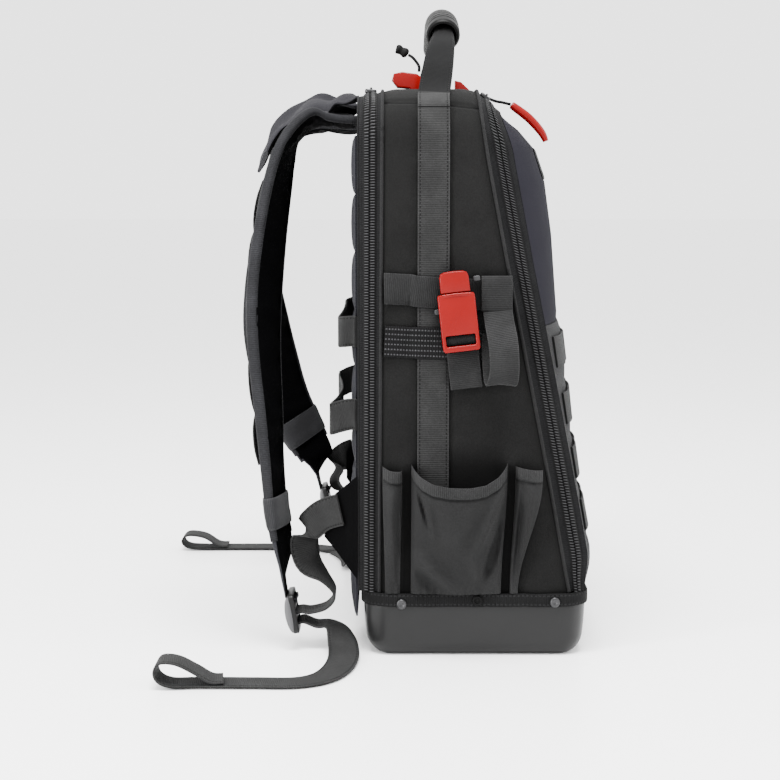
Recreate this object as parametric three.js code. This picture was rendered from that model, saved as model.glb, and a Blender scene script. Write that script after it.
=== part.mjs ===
import * as THREE from 'three';

// Tool backpack. Millimetres, +Z up, +X the bag's front, -X the wearer's side, -Y the near side.

// Named sizes
const bodyWidth = 320;
const bodyHeight = 451;
const halfWidth = bodyWidth / 2;
const gap = 0.3;
const clothWall = 2.2;
const shellWall = 3;
const webWidth = 25;
const webThick = 1.8;

const trayRear = -89;
const trayFront = 90;
const trayHeight = 45;
const trayWall = 3;
const trayCorner = 22;
const trayBottomRound = 16;
const traySideRound = 8;

const bindingHeight = 10;
const bindingThick = 2;
const bindingTop = trayHeight + 4;

const panelHalf = halfWidth - 1.5;
const topCorner = 42;
const seamTuck = 2.2;
const edgeTuck = 6;
const rearSeamTop = -73;
const rearSeamBottom = -76;
const frontStrip = 21;
const frontStripDrop = 18;
const chainRaise = 2;

const panelBottom = bindingTop + gap;
const rearPlateX = -92.5;
const rearFace = rearPlateX - shellWall - gap;
const splitHeight = 258;

const colours = {
  cloth: 0x1d1e20,
  web: 0x232427,
  tray: 0x4b4c4e,
  rubber: 0x1a1a1b,
  shell: 0x2b2d33,
  mesh: 0x33363d,
  red: 0xe01010,
  metal: 0x6d6f72,
  lock: 0x3a3b3d,
};

// Front seam of the side panel: height, X
const frontSeam = [
  [45, 75.4], [51, 74.4], [117, 61.6], [256, 33.6], [309, 23], [392, 7.6], [427, 2.4], [451, 0],
];

// Outline of the front in the side view: height, X
const frontOutline = [
  [49, 94], [57, 99], [75, 98], [101, 92], [128, 87], [169, 82], [219, 77], [269, 71],
  [330, 67], [375, 61], [404, 51], [419, 38], [433, 17],
];

// Small helpers on plain [x, y, z] vectors
const add = (a, b) => [a[0] + b[0], a[1] + b[1], a[2] + b[2]];
const sub = (a, b) => [a[0] - b[0], a[1] - b[1], a[2] - b[2]];
const mul = (a, k) => [a[0] * k, a[1] * k, a[2] * k];
const dot = (a, b) => a[0] * b[0] + a[1] * b[1] + a[2] * b[2];
const cross = (a, b) => [
  a[1] * b[2] - a[2] * b[1],
  a[2] * b[0] - a[0] * b[2],
  a[0] * b[1] - a[1] * b[0],
];
const unit = (a) => mul(a, 1 / (Math.hypot(a[0], a[1], a[2]) || 1));
const mix = (a, b, k) => a + (b - a) * k;
const smooth = (k) => {
  const c = Math.min(1, Math.max(0, k));
  return c * c * (3 - 2 * c);
};
const mirrorY = (p) => [p[0], -p[1], p[2]];

function lookup(table, key) {
  if (key <= table[0][0]) return table[0][1];
  for (let i = 1; i < table.length; i += 1) {
    if (key <= table[i][0]) {
      const share = (key - table[i - 1][0]) / (table[i][0] - table[i - 1][0]);
      return mix(table[i - 1][1], table[i][1], share);
    }
  }
  return table[table.length - 1][1];
}

const group = new THREE.Group();
group.name = 'tool_backpack';

const finishes = {
  cloth: [0.9, 0], web: [0.85, 0], tray: [0.55, 0], rubber: [0.8, 0], shell: [0.8, 0],
  mesh: [0.9, 0], red: [0.3, 0], metal: [0.35, 0.9], lock: [0.5, 0],
};

function material(slot) {
  const [roughness, metalness] = finishes[slot];
  return new THREE.MeshStandardMaterial({ color: colours[slot], roughness, metalness });
}

function signedVolume(points, faces) {
  let total = 0;
  for (const [a, b, c] of faces) {
    total += dot(points[a], cross(points[b], points[c])) / 6;
  }
  return total;
}

// One closed body from points and triangles, turned to face outward
function addBody(name, slot, points, faces) {
  const flip = signedVolume(points, faces) < 0;
  const geometry = new THREE.BufferGeometry();
  geometry.setAttribute('position', new THREE.Float32BufferAttribute(points.flat(), 3));
  geometry.setIndex(faces.flatMap(([a, b, c]) => (flip ? [a, c, b] : [a, b, c])));
  geometry.computeVertexNormals();
  const mesh = new THREE.Mesh(geometry, material(slot));
  mesh.name = name;
  group.add(mesh);
  return mesh;
}

// Closed body between an outer and an inner grid of points
function slab(name, slot, outer, inner, ring = false) {
  const rows = outer.length;
  const cols = outer[0].length;
  const points = [...outer.flat(), ...inner.flat()];
  const half = rows * cols;
  const faces = [];
  const at = (i, j) => (i % rows) * cols + j;
  const quad = (a, b, c, d) => faces.push([a, b, c], [a, c, d]);
  const lastRow = ring ? rows : rows - 1;
  for (let i = 0; i < lastRow; i += 1) {
    for (let j = 0; j < cols - 1; j += 1) {
      quad(at(i, j), at(i + 1, j), at(i + 1, j + 1), at(i, j + 1));
      quad(half + at(i, j), half + at(i, j + 1), half + at(i + 1, j + 1), half + at(i + 1, j));
    }
    quad(at(i, 0), half + at(i, 0), half + at(i + 1, 0), at(i + 1, 0));
    const j = cols - 1;
    quad(at(i, j), at(i + 1, j), half + at(i + 1, j), half + at(i, j));
  }
  if (!ring) {
    for (let j = 0; j < cols - 1; j += 1) {
      quad(at(0, j), at(0, j + 1), half + at(0, j + 1), half + at(0, j));
      const i = rows - 1;
      quad(at(i, j), half + at(i, j), half + at(i, j + 1), at(i, j + 1));
    }
  }
  return addBody(name, slot, points, faces);
}

// Closed body from equal rings of points, both ends capped
function loft(name, slot, rings) {
  const count = rings[0].length;
  const points = rings.flat();
  const faces = [];
  for (let i = 0; i < rings.length - 1; i += 1) {
    for (let j = 0; j < count; j += 1) {
      const k = (j + 1) % count;
      const a = i * count + j;
      const b = i * count + k;
      faces.push([a, b, b + count], [a, b + count, a + count]);
    }
  }
  for (const [start, turn] of [[0, 1], [(rings.length - 1) * count, -1]]) {
    const middle = rings[start / count].reduce((s, p) => add(s, p), [0, 0, 0]);
    points.push(mul(middle, 1 / count));
    const hub = points.length - 1;
    for (let j = 0; j < count; j += 1) {
      const a = start + j;
      const b = start + ((j + 1) % count);
      faces.push(turn > 0 ? [hub, b, a] : [hub, a, b]);
    }
  }
  return addBody(name, slot, points, faces);
}

// Catmull-Rom samples through table rows of any length
function samples(rows, per) {
  const out = [];
  const last = rows.length - 1;
  for (let i = 0; i < last; i += 1) {
    const a = rows[Math.max(0, i - 1)];
    const b = rows[i];
    const c = rows[i + 1];
    const d = rows[Math.min(last, i + 2)];
    for (let k = 0; k < per; k += 1) {
      const t = k / per;
      out.push(b.map((v, n) => 0.5 * (2 * v + (c[n] - a[n]) * t
        + (2 * a[n] - 5 * v + 4 * c[n] - d[n]) * t * t
        + (3 * v - a[n] - 3 * c[n] + d[n]) * t * t * t)));
    }
  }
  out.push([...rows[last]]);
  return out;
}

// Frames along a path: each row is [x, y, z, bx, by, bz, ...] with b the width direction
function frames(rows) {
  return rows.map((row, i) => {
    const here = row.slice(0, 3);
    const before = rows[Math.max(0, i - 1)].slice(0, 3);
    const after = rows[Math.min(rows.length - 1, i + 1)].slice(0, 3);
    const along = unit(sub(after, before));
    const wide = row.slice(3, 6);
    const across = unit(sub(wide, mul(along, dot(wide, along))));
    return { here, along, across, out: cross(along, across), rest: row.slice(6) };
  });
}

// Flat strap of webbing along a path
function ribbon(name, slot, rows, width = webWidth, thick = webThick) {
  const outer = [];
  const inner = [];
  for (const { here, across, out, rest } of frames(rows)) {
    const half = (rest[0] ?? width) / 2;
    const rise = (rest[1] ?? thick) / 2;
    const line = [-half, half];
    outer.push(line.map((v) => add(add(here, mul(across, v)), mul(out, rise))));
    inner.push(line.map((v) => add(add(here, mul(across, v)), mul(out, -rise))));
  }
  return slab(name, slot, outer, inner);
}

// Rounded section of a soft bar in one frame of its path
function padSection({ here, across, out }, width, thick, corners = 3) {
  const round = Math.min(thick, width) * 0.48;
  const ring = [];
  for (const [sx, sy, start] of [[1, 1, 0], [-1, 1, 90], [-1, -1, 180], [1, -1, 270]]) {
    for (let k = 0; k < corners; k += 1) {
      const turn = ((start + (90 * k) / (corners - 1)) * Math.PI) / 180;
      const u = sx * (width / 2 - round) + Math.cos(turn) * round;
      const v = sy * (thick / 2 - round) + Math.sin(turn) * round;
      ring.push(add(add(here, mul(across, u)), mul(out, v)));
    }
  }
  return ring;
}

// Soft bar; rows carry width and thickness
function padBar(name, slot, rows) {
  loft(name, slot, frames(rows).map((f) => padSection(f, f.rest[0], f.rest[1])));
}

// Frame part of the way between two rows of a soft bar
function between(f, g, share) {
  const blend = (a, b) => a.map((v, m) => mix(v, b[m], share));
  return {
    here: blend(f.here, g.here),
    along: unit(blend(f.along, g.along)),
    across: blend(f.across, g.across),
    out: blend(f.out, g.out),
    rest: blend(f.rest, g.rest),
  };
}

// Round cord along a path
function cordBar(name, slot, rows, radius, sides = 6) {
  const rings = frames(rows).map(({ here, across, out, rest }) => {
    const r = rest[0] ?? radius;
    return Array.from({ length: sides }, (_, k) => {
      const turn = (2 * Math.PI * k) / sides;
      return add(add(here, mul(across, Math.cos(turn) * r)), mul(out, Math.sin(turn) * r));
    });
  });
  return loft(name, slot, rings);
}

// Place [u, v, w] in a tilted frame
function placer(origin, uAxis, vAxis) {
  const u = unit(uAxis);
  const v = unit(sub(vAxis, mul(u, dot(u, vAxis))));
  const w = cross(u, v);
  return (p) => add(add(add(origin, mul(u, p[0])), mul(v, p[1])), mul(w, p[2]));
}

// Plate with a rounded outline, optional slots and a chamfer, in a placed frame
function plate(name, slot, outline, holes, depth, chamfer, place) {
  const shape = new THREE.Shape(outline.map(([a, b]) => new THREE.Vector2(a, b)));
  for (const hole of holes) {
    shape.holes.push(new THREE.Path(hole.map(([a, b]) => new THREE.Vector2(a, b))));
  }
  const solid = new THREE.ExtrudeGeometry(shape, {
    depth: depth - 2 * chamfer,
    bevelEnabled: chamfer > 0,
    bevelThickness: chamfer,
    bevelSize: chamfer,
    bevelOffset: -chamfer,
    bevelSegments: 1,
    curveSegments: 4,
  });
  const raw = solid.getAttribute('position');
  const seen = new Map();
  const points = [];
  const index = [];
  for (let i = 0; i < raw.count; i += 1) {
    const p = [raw.getX(i), raw.getY(i), raw.getZ(i) + chamfer];
    const key = p.map((v) => Math.round(v * 1e4)).join();
    if (!seen.has(key)) {
      seen.set(key, points.length);
      points.push(place(p));
    }
    index.push(seen.get(key));
  }
  const faces = [];
  for (let i = 0; i < index.length; i += 3) {
    const [a, b, c] = [index[i], index[i + 1], index[i + 2]];
    if (a !== b && b !== c && a !== c) faces.push([a, b, c]);
  }
  return addBody(name, slot, points, faces);
}

function roundedOutline(width, length, corner, steps = 3) {
  const out = [];
  for (const [sx, sy, start] of [[1, 1, 0], [-1, 1, 90], [-1, -1, 180], [1, -1, 270]]) {
    for (let k = 0; k <= steps; k += 1) {
      const turn = ((start + (90 * k) / steps) * Math.PI) / 180;
      out.push([
        sx * (width / 2 - corner) + Math.cos(turn) * corner,
        sy * (length / 2 - corner) + Math.sin(turn) * corner,
      ]);
    }
  }
  return out;
}

const boxHole = (u0, u1, v0, v1) => [[u0, v0], [u1, v0], [u1, v1], [u0, v1]];

// Plan outline of the tray, moved inward by an inset
function trayRing(inset, height, insetY = inset, steps = 5, edge = 2) {
  const ring = [];
  const midX = (trayRear + trayFront) / 2;
  const halfX = (trayFront - trayRear) / 2 - inset;
  const halfY = halfWidth - insetY;
  const corner = Math.max(4, trayCorner - inset);
  const arcs = [[1, 1, 0], [-1, 1, 90], [-1, -1, 180], [1, -1, 270]];
  arcs.forEach(([sx, sy, start], n) => {
    for (let k = 0; k <= steps; k += 1) {
      const turn = ((start + (90 * k) / steps) * Math.PI) / 180;
      ring.push([
        midX + sx * (halfX - corner) + Math.cos(turn) * corner,
        sy * (halfY - corner) + Math.sin(turn) * corner,
        height,
      ]);
    }
    const from = ring[ring.length - 1];
    const [nx, ny, nextStart] = arcs[(n + 1) % 4];
    const turn = (nextStart * Math.PI) / 180;
    const to = [
      midX + nx * (halfX - corner) + Math.cos(turn) * corner,
      ny * (halfY - corner) + Math.sin(turn) * corner,
      height,
    ];
    for (let k = 1; k < edge; k += 1) {
      ring.push(from.map((v, m) => mix(v, to[m], k / edge)));
    }
  });
  return ring;
}

// Moulded tray: one lathe-like skin from the floor, over the rim and back down inside
function buildTray() {
  const levels = [];
  const roundSteps = 3;
  for (let k = 0; k <= roundSteps; k += 1) {
    const turn = (Math.PI / 2) * (k / roundSteps);
    levels.push([
      trayBottomRound * (1 - Math.sin(turn)) + 1.5,
      trayBottomRound * (1 - Math.cos(turn)),
      traySideRound * (1 - Math.sin(turn)) + 1,
    ]);
  }
  levels.push([0, trayHeight - 14], [0, trayHeight], [trayWall, trayHeight]);
  levels.push([trayWall + 0.5, trayBottomRound + 4]);
  levels.push([trayWall + trayBottomRound * 0.6, trayWall + 3]);
  levels.push([trayWall + trayBottomRound, trayWall]);
  loft('base_tray', 'tray', levels.map((level) => trayRing(...level)));
}

function buildBinding() {
  const low = bindingTop - bindingHeight;
  const outer = trayRing(-gap - bindingThick, low);
  const outerTop = trayRing(-gap - bindingThick, bindingTop);
  const inner = trayRing(-gap, low);
  const innerTop = trayRing(-gap, bindingTop);
  slab(
    'base_binding', 'web',
    outer.map((p, i) => [p, outerTop[i]]),
    inner.map((p, i) => [p, innerTop[i]]),
    true,
  );
}

// Inverted U of the side panels and top, as [y, z] with its outward normal
function uRing(half, top, corner, bottom) {
  const list = [];
  const sideSteps = 9;
  const cornerSteps = 5;
  const topSteps = 4;
  const shoulder = top - corner;
  for (let k = 0; k < sideSteps; k += 1) {
    list.push([-half, mix(bottom, shoulder, k / sideSteps), -1, 0]);
  }
  for (let k = 0; k < cornerSteps; k += 1) {
    const turn = (Math.PI / 2) * (k / cornerSteps);
    const c = Math.cos(turn);
    const s = Math.sin(turn);
    list.push([-half + corner - c * corner, shoulder + s * corner, -c, s]);
  }
  for (let k = 0; k <= topSteps / 2; k += 1) {
    list.push([mix(-half + corner, 0, k / (topSteps / 2)), top, 0, 1]);
  }
  const mirrored = list.slice(0, -1).reverse().map(([y, z, ny, nz]) => [-y, z, -ny, nz]);
  return [...list, ...mirrored];
}

// The tables' heights are for a body of this height, and stretch with it
const tableBody = 451;
const tableZ = (z) => (z * tableBody) / bodyHeight;
const seamX = (z) => lookup(frontSeam, tableZ(z));
const rearSeamX = (z) => mix(rearSeamBottom, rearSeamTop, z / bodyHeight);

// Strip of the U between two rings; profile rows are [share, raise]
function uStrip(name, slot, ringA, ringB, profile, wall) {
  const outer = [];
  const inner = [];
  ringA.forEach((a, i) => {
    const b = ringB[i];
    const line = profile.map(([share, raise]) => {
      const out = unit([0, 1, 2].map((m) => mix(a.normal[m], b.normal[m], share)));
      const base = a.point.map((v, m) => mix(v, b.point[m], share));
      return [add(base, mul(out, raise)), sub(base, mul(out, wall))];
    });
    outer.push(line.map(([p]) => p));
    inner.push(line.map(([, q]) => q));
  });
  return slab(name, slot, outer, inner);
}

function ringPoints(half, top, corner, bottom, xOf) {
  return uRing(half, top, corner, bottom).map(([y, z, ny, nz]) => ({
    point: [xOf(z, y), y, z],
    normal: [0, ny, nz],
  }));
}

const stripFrontX = (z) => seamX(z) + frontStrip - 4 * smooth((z - (bodyHeight - 56)) / 35);

const seamRing = (low, xOf) => ringPoints(
  panelHalf - seamTuck, bodyHeight - seamTuck, topCorner - seamTuck, low, xOf,
);

function buildSidePanels() {
  const front = seamRing(trayHeight + gap, (z) => seamX(z) - gap);
  const rear = seamRing(trayHeight + gap, rearSeamX);
  uStrip(
    'side_gusset', 'cloth', rear, front,
    [[0, 0], [0.16, seamTuck], [0.84, seamTuck], [1, 0]], clothWall,
  );
}

const zipProfile = [[0, 1], [0.13, 0], [0.31, chainRaise], [0.7, chainRaise], [0.82, 0], [1, 0]];
const frontTop = bodyHeight - frontStripDrop;
const frontCorner = topCorner - edgeTuck;
const frontHalf = panelHalf - edgeTuck;

function buildZips() {
  const rearA = seamRing(panelBottom, (z) => rearSeamX(z) - gap);
  const rearB = ringPoints(
    panelHalf - edgeTuck, bodyHeight - edgeTuck, topCorner - edgeTuck, panelBottom,
    () => rearPlateX + gap,
  );
  uStrip('rear_zip', 'web', rearA, rearB, zipProfile, clothWall);
  const frontA = seamRing(panelBottom, seamX);
  const frontB = ringPoints(frontHalf, frontTop, frontCorner, panelBottom, stripFrontX);
  uStrip('front_zip', 'web', frontA, frontB, zipProfile, clothWall);
}

// Front surface of the bag at a height and side share
function frontRow(z) {
  const over = Math.max(0, z - (frontTop - frontCorner));
  const inside = Math.sqrt(Math.max(0, frontCorner * frontCorner - over * over));
  const half = frontHalf - (frontCorner - inside);
  return { half, edge: stripFrontX(z) + gap, middle: lookup(frontOutline, tableZ(z)) };
}

function frontPoint(z, share) {
  const { half, edge, middle } = frontRow(z);
  const bow = 1 - Math.abs(share) ** 3.2;
  return [edge + Math.max(0, middle - edge) * bow + 2 * (1 - share * share), half * share, z];
}

// Thick sheet over a grid of points, pushed inward along its own normals
function thickSheet(name, slot, grid, wall, rimNormal) {
  const rows = grid.length;
  const cols = grid[0].length;
  const inner = grid.map((line, i) => line.map((p, j) => {
    const rim = rimNormal ? rimNormal(i, j, p) : null;
    if (rim) return sub(p, mul(rim, wall));
    const a = sub(grid[Math.min(rows - 1, i + 1)][j], grid[Math.max(0, i - 1)][j]);
    const b = sub(grid[i][Math.min(cols - 1, j + 1)], grid[i][Math.max(0, j - 1)]);
    return sub(p, mul(unit(cross(b, a)), wall));
  }));
  return slab(name, slot, grid, inner);
}

const sideShares = [-1, -0.94, -0.87, -0.77, -0.58, 0, 0.58, 0.77, 0.87, 0.94, 1];

function frontGrid(heights) {
  return heights.map((z) => sideShares.map((share) => frontPoint(z, share)));
}

function buildFront() {
  const upper = [splitHeight + gap, 290, 325, 355, 375, 392, 404, 413, 420, 426, 430, 432.4];
  const last = upper.length - 1;
  thickSheet('front_shell_upper', 'shell', frontGrid(upper), shellWall, (i, j) => {
    const atSide = j === 0 || j === sideShares.length - 1;
    const sign = j === 0 ? -1 : 1;
    if (i === last && !atSide) return [0, 0, 1];
    if (i === 0 && !atSide) return [1, 0, 0];
    if (!atSide) return null;
    const rise = Math.max(0, upper[i] - frontTop + frontCorner) / frontCorner;
    return [0, sign * Math.sqrt(Math.max(0, 1 - rise * rise)), rise];
  });
  const lower = [panelBottom, 57, 70, 84, 101, 126, 147, 166, 187, 208, 232, splitHeight];
  thickSheet('front_panel_lower', 'cloth', frontGrid(lower), shellWall, (i, j) => {
    if (j === 0) return [0, -1, 0];
    if (j === sideShares.length - 1) return [0, 1, 0];
    return i === 0 || i === lower.length - 1 ? [1, 0, 0] : null;
  });
}

// Webbing rows on the lower front: the band bows out between its tacks
function buildFrontBands() {
  const heights = [236, 191, 148, 107];
  heights.forEach((mid, n) => {
    const outer = [];
    const inner = [];
    const steps = 24;
    for (let k = 0; k <= steps; k += 1) {
      const share = mix(-0.97, 0.97, k / steps);
      const line = [-webWidth / 2, webWidth / 2].map((dz) => frontPoint(mid + dz, share));
      const crest = frontPoint(mid, share)[0] - (line[0][0] + line[1][0]) / 2;
      const lift = gap + 0.1 + Math.max(0, crest) + [0, 2, 2.6, 2][k % 4];
      const away = unit([1, 0.9 * Math.sign(share) * Math.abs(share) ** 6, 0]);
      outer.push(line.map((p) => add(p, mul(away, lift + webThick))));
      inner.push(line.map((p) => add(p, mul(away, lift))));
    }
    slab(`front_band_${n + 1}`, 'web', outer, inner);
  });
}

function buildRearPlate() {
  const ring = uRing(panelHalf - edgeTuck, bodyHeight - edgeTuck, topCorner - edgeTuck, panelBottom);
  const nearEdge = ring.filter(([y], i) => i < ring.length / 2 && y <= -panelHalf + topCorner);
  const shares = [-1, 0, 1];
  const face = nearEdge.map(([y, z]) => shares.map((k) => [rearPlateX, -y * k, z]));
  const back = face.map((line) => line.map((p) => add(p, [-shellWall, 0, 0])));
  slab('rear_plate', 'cloth', face, back);
}

// Lobed cushion on the wearer's side
const lobeRise = 6;
function buildBackPad() {
  const low = 146;
  const high = bodyHeight - 39;
  const half = 132;
  const seams = [0, 0.113, 0.286, 0.459, 0.639, 0.82, 1].map((share) => mix(low, high, share));
  const lobes = seams.slice(1).map((z, i) => [seams[i], z]);
  const heights = [];
  for (const [a, b] of lobes) {
    heights.push([a, 2.5], [mix(a, b, 0.22), lobeRise], [mix(a, b, 0.78), lobeRise]);
  }
  heights.push([high, 2.5]);
  const across = [[-1, 0.15], [-0.94, 0.8], [-0.1, 1], [0, 0.4], [0.1, 1], [0.94, 0.8], [1, 0.15]];
  const outer = heights.map(([z, rise]) => across.map(([share, k]) => [
    rearFace - rise * k - 0.4, half * share, z,
  ]));
  const inner = heights.map(([z]) => across.map(([share]) => [rearFace, half * share, z]));
  slab('back_pad', 'mesh', outer, inner);
}

function buildLumbarPad() {
  const rows = [[26, 1.5], [30, 5], [60, 7], [100, 7], [132, 5], [143, 1.5]];
  const across = [[-1, 0.2], [-0.93, 0.8], [-0.6, 1], [0.6, 1], [0.93, 0.8], [1, 0.2]];
  const half = 138;
  const outer = rows.map(([z, rise]) => across.map(([share, k]) => [
    rearFace - 0.4 - rise * k, half * share, z,
  ]));
  const inner = rows.map(([z]) => across.map(([share]) => [rearFace, half * share, z]));
  slab('lumbar_pad', 'mesh', outer, inner);
}

const sideY = (offset) => -(panelHalf + offset);

// Strap that runs up one side, over the top as the handle and down the other side
const handleRise = 65;
const gripHeight = bodyHeight + handleRise;
const gripDrop = 14;
const gripHalf = 62;
const strapMid = -34;
const gripX = strapMid + 10;
const gripZ = (y) => gripHeight - gripDrop * (y / gripHalf) ** 2;
function buildCarryStrap() {
  const lift = gap + 0.2 + webThick / 2;
  const half = panelHalf + lift;
  const shoulder = bodyHeight - topCorner;
  const corner = topCorner + lift;
  const side = [[strapMid, -half, 52], [strapMid, -half, 140], [strapMid, -half, 250],
    [strapMid, -half, 340], [strapMid, -half, shoulder]];
  for (const turn of [18, 36, 54]) {
    const a = (turn * Math.PI) / 180;
    side.push([
      strapMid, -half + corner - Math.cos(a) * corner, shoulder + Math.sin(a) * corner,
    ]);
  }
  const flat = side.map((p) => [...p, 1, 0, 0, webWidth, webThick]);
  const rise = [
    [strapMid + 2, -127, bodyHeight + 4, 1, 0, 0, 24.5, 2.4],
    [strapMid + 6, -108, bodyHeight + handleRise * 0.34, 1, 0, 0, 22, 5],
    [strapMid + 9, -86, bodyHeight + handleRise * 0.585, 1, 0, 0, 19, 8],
    ...[-gripHalf, -41.3, -20.7, 0].map((y) => [gripX, y, gripZ(y), 1, 0, 0, 17, 9.6]),
  ];
  const near = [...flat, ...rise];
  const far = near.slice(0, -1).reverse().map((r) => [r[0], -r[1], r[2], 1, 0, 0, r[6], r[7]]);
  ribbon('carry_strap', 'web', [...near, ...far]);
}

function buildGrip() {
  const rows = [];
  const steps = 16;
  for (let k = 0; k <= steps; k += 1) {
    const share = mix(-1, 1, k / steps);
    const y = gripHalf * share;
    const rib = Math.abs(share) < 0.72 && k % 2 === 0;
    rows.push([gripX, y, gripZ(y), 1, 0, 0, rib ? 12.9 : 14.6]);
  }
  const sides = 10;
  const list = frames(rows);
  const circle = (f, r) => Array.from({ length: sides + 1 }, (_, k) => {
    const turn = (2 * Math.PI * (k % sides)) / sides;
    return add(add(f.here, mul(f.across, Math.cos(turn) * r)), mul(f.out, Math.sin(turn) * r));
  });
  const points = [];
  const faces = [];
  const rings = [
    ...list.map((f) => circle(f, f.rest[0]).slice(0, sides)),
    ...[...list].reverse().filter((_, i) => i % 2 === 0).map((f) => circle(f, 10.6).slice(0, sides)),
  ];
  rings.forEach((ring) => points.push(...ring));
  const total = rings.length;
  for (let i = 0; i < total; i += 1) {
    const n = (i + 1) % total;
    for (let j = 0; j < sides; j += 1) {
      const k = (j + 1) % sides;
      const [a, b, c, d] = [i * sides + j, i * sides + k, n * sides + k, n * sides + j];
      faces.push([a, b, c], [a, c, d]);
    }
  }
  addBody('handle_grip', 'rubber', points, faces);
}

// Side pocket panels: X of both edges at top and bottom, top heights, bulge
const pocketPanels = [
  ['rear', -74, -57, -72, -58, [148, 147, 145, 144], 9],
  ['middle', -54, 27, -55, 24, [147, 136, 135, 148], 24],
  ['front', 30.5, 53, 27, 34, [147, 148, 147, 145], 9],
];

function buildPockets(sideName, flipSide) {
  const floorZ = bindingTop + gap;
  const wall = clothWall * 0.9;
  for (const [part, x0, x1, b0, b1, tops, bulge] of pocketPanels) {
    const outer = [];
    const inner = [];
    const across = part === 'middle' ? 9 : 4;
    const levels = [0, 0.12, 0.35, 0.65, 0.86, 0.93, 1];
    for (const level of levels) {
      const lineOut = [];
      const lineIn = [];
      for (let k = 0; k <= across; k += 1) {
        const share = k / across;
        const spot = share * 3;
        const low = Math.min(2, Math.floor(spot));
        const top = mix(tops[low], tops[low + 1], spot - low);
        const z = mix(floorZ, top, level);
        const x = mix(mix(b0, b1, share), mix(x0, x1, share), smooth(level * 1.1));
        const crest = Math.sin(Math.PI * share) ** 0.6;
        const clear = part === 'middle' ? 2.4 * Math.min(1, crest * 3) : 0.6 * crest;
        const puff = clear + bulge * crest * (0.12 + 0.88 * smooth(level * 1.15));
        const hem = level > 0.9 ? 1 : 0;
        const y = sideY(gap + 0.1 + wall + puff);
        lineOut.push([x, y - hem, z]);
        lineIn.push([x, y + wall, z]);
      }
      outer.push(lineOut);
      inner.push(lineIn);
    }
    const turn = (grid) => (flipSide ? grid.map((line) => line.map(mirrorY)) : grid);
    slab(`pocket_${part}_${sideName}`, 'cloth', turn(outer), turn(inner));
  }
}

// Horizontal side webbing: rises over the upright strap
function buildSideWebs(sideName, flipSide) {
  const low = gap + webThick / 2;
  const high = low + webThick + gap;
  const edge = strapMid - webWidth / 2;
  const upper = [
    [rearSeamTop + 0.6, 288, low], [edge - 8, 287, low], [edge - 1, 286, high],
    [-20, 284, high], [-8, 283.5, low], [20, 283, low],
  ];
  const lower = [
    [rearSeamTop + 0.6, 246, low], [edge - 8, 245, low], [edge - 1, 245, high],
    [-20, 244, high], [-8, 243, low], [31, 240, low],
  ];
  const rows = (list) => list.map(([x, z, lift]) => {
    const p = [x, sideY(lift), z];
    return [...(flipSide ? mirrorY(p) : p), 0, 0, 1];
  });
  ribbon(`side_web_upper_${sideName}`, 'web', rows(upper));
  ribbon(`side_web_lower_${sideName}`, 'web', rows(lower));
}

// Red side buckle, leaning back a little
const buckleWidth = 29;
const buckleLength = 46;
const buckleThick = 9;
const buckleLean = 0.115;
const buckleBack = 6.6;
function buildBuckle() {
  const place = placer([-14.5, sideY(buckleBack), 262], [1, 0, buckleLean], [-buckleLean, 0, 1]);
  const outline = roundedOutline(buckleWidth, buckleLength, 3.5, 2);
  const slot = boxHole(-11.6, 11.6, -18.5, -10);
  plate('buckle_body', 'red', outline, [slot], buckleThick, 0.9, place);
  const tongueLength = 17;
  const tongueMiddle = (buckleLength + tongueLength) / 2 + gap;
  const tongue = roundedOutline(23, tongueLength, 2.5, 2).map(([a, b]) => [a, b + tongueMiddle]);
  plate('buckle_tongue', 'red', tongue, [], 6.5, 1, (p) => place([p[0], p[1], p[2] + 1.2]));
  const tail = [[-8, 0], [-19, 0], [-26, 0.4], [-36, 1.2], [-47, 1], [-53, -0.2]];
  const back = -gap - webThick / 2;
  const rows = tail.map(([v, rise]) => [...place([0.5, v, back + rise * 0.4]), 1, 0, buckleLean]);
  ribbon('buckle_tail', 'web', rows, webWidth);
}

// Webbing loop hanging beside the buckle
function buildToolLoop() {
  const rows = [
    [16, 3.7, 297], [16.5, 4.4, 286], [17.5, 16, 268], [18.5, 24, 246], [18.5, 25, 228],
    [17.5, 20, 216], [16.5, 12, 215], [16, 7, 224], [16, 4, 240], [16, 3.7, 254],
  ];
  ribbon('tool_loop', 'web', samples(
    rows.map(([x, off, z]) => [x, sideY(off), z, 1, 0, 0.06]), 2,
  ), 23);
}

// Heights in the tables of the pads and yokes are stretched with the body
const padTop = bodyHeight - 24;
const padFoot = 76;
const hang = (z) => mix(padFoot, padTop, (z - padFoot) / (tableBody - 24 - padFoot));

// Shoulder pads: X, Y, Z, width, thickness down the middle line, then the turn of its face
// towards the near side in degrees
const padNear = [
  [-96.1, -61, 427, 62, 9, 0], [-110, -61, 428, 63, 9, 0], [-127, -63, 429, 64, 10, 0],
  [-142, -68, 424, 64, 11, 3], [-155, -78, 404, 64, 12, 7], [-163, -88, 378, 64, 13, 11],
  [-171, -104, 330, 62, 13, 15], [-175, -113, 280, 60, 13, 17], [-174, -119, 235, 58, 13, 15],
  [-168, -124, 185, 54, 12, 11], [-163, -127, 145, 48, 11, 7], [-160, -129, 108, 42, 9, 3],
  [-154, -130, 76, 36, 6, 0],
];
const padFar = [
  [-96.1, 61, 427, 62, 9, 0], [-110, 61, 428, 63, 9, 0], [-127, 63, 429, 64, 10, 0],
  [-143, 68, 424, 64, 11, 0], [-157, 78, 404, 64, 12, 2], [-166, 88, 378, 64, 13, 6],
  [-177, 104, 330, 62, 13, 20], [-183, 113, 280, 60, 13, 38], [-180, 119, 235, 58, 13, 54],
  [-171, 124, 195, 54, 12, 62], [-160, 127, 165, 49, 11, 60], [-149, 129, 138, 44, 8.5, 57],
  [-139, 130, 112, 39, 6, 53],
];

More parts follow.
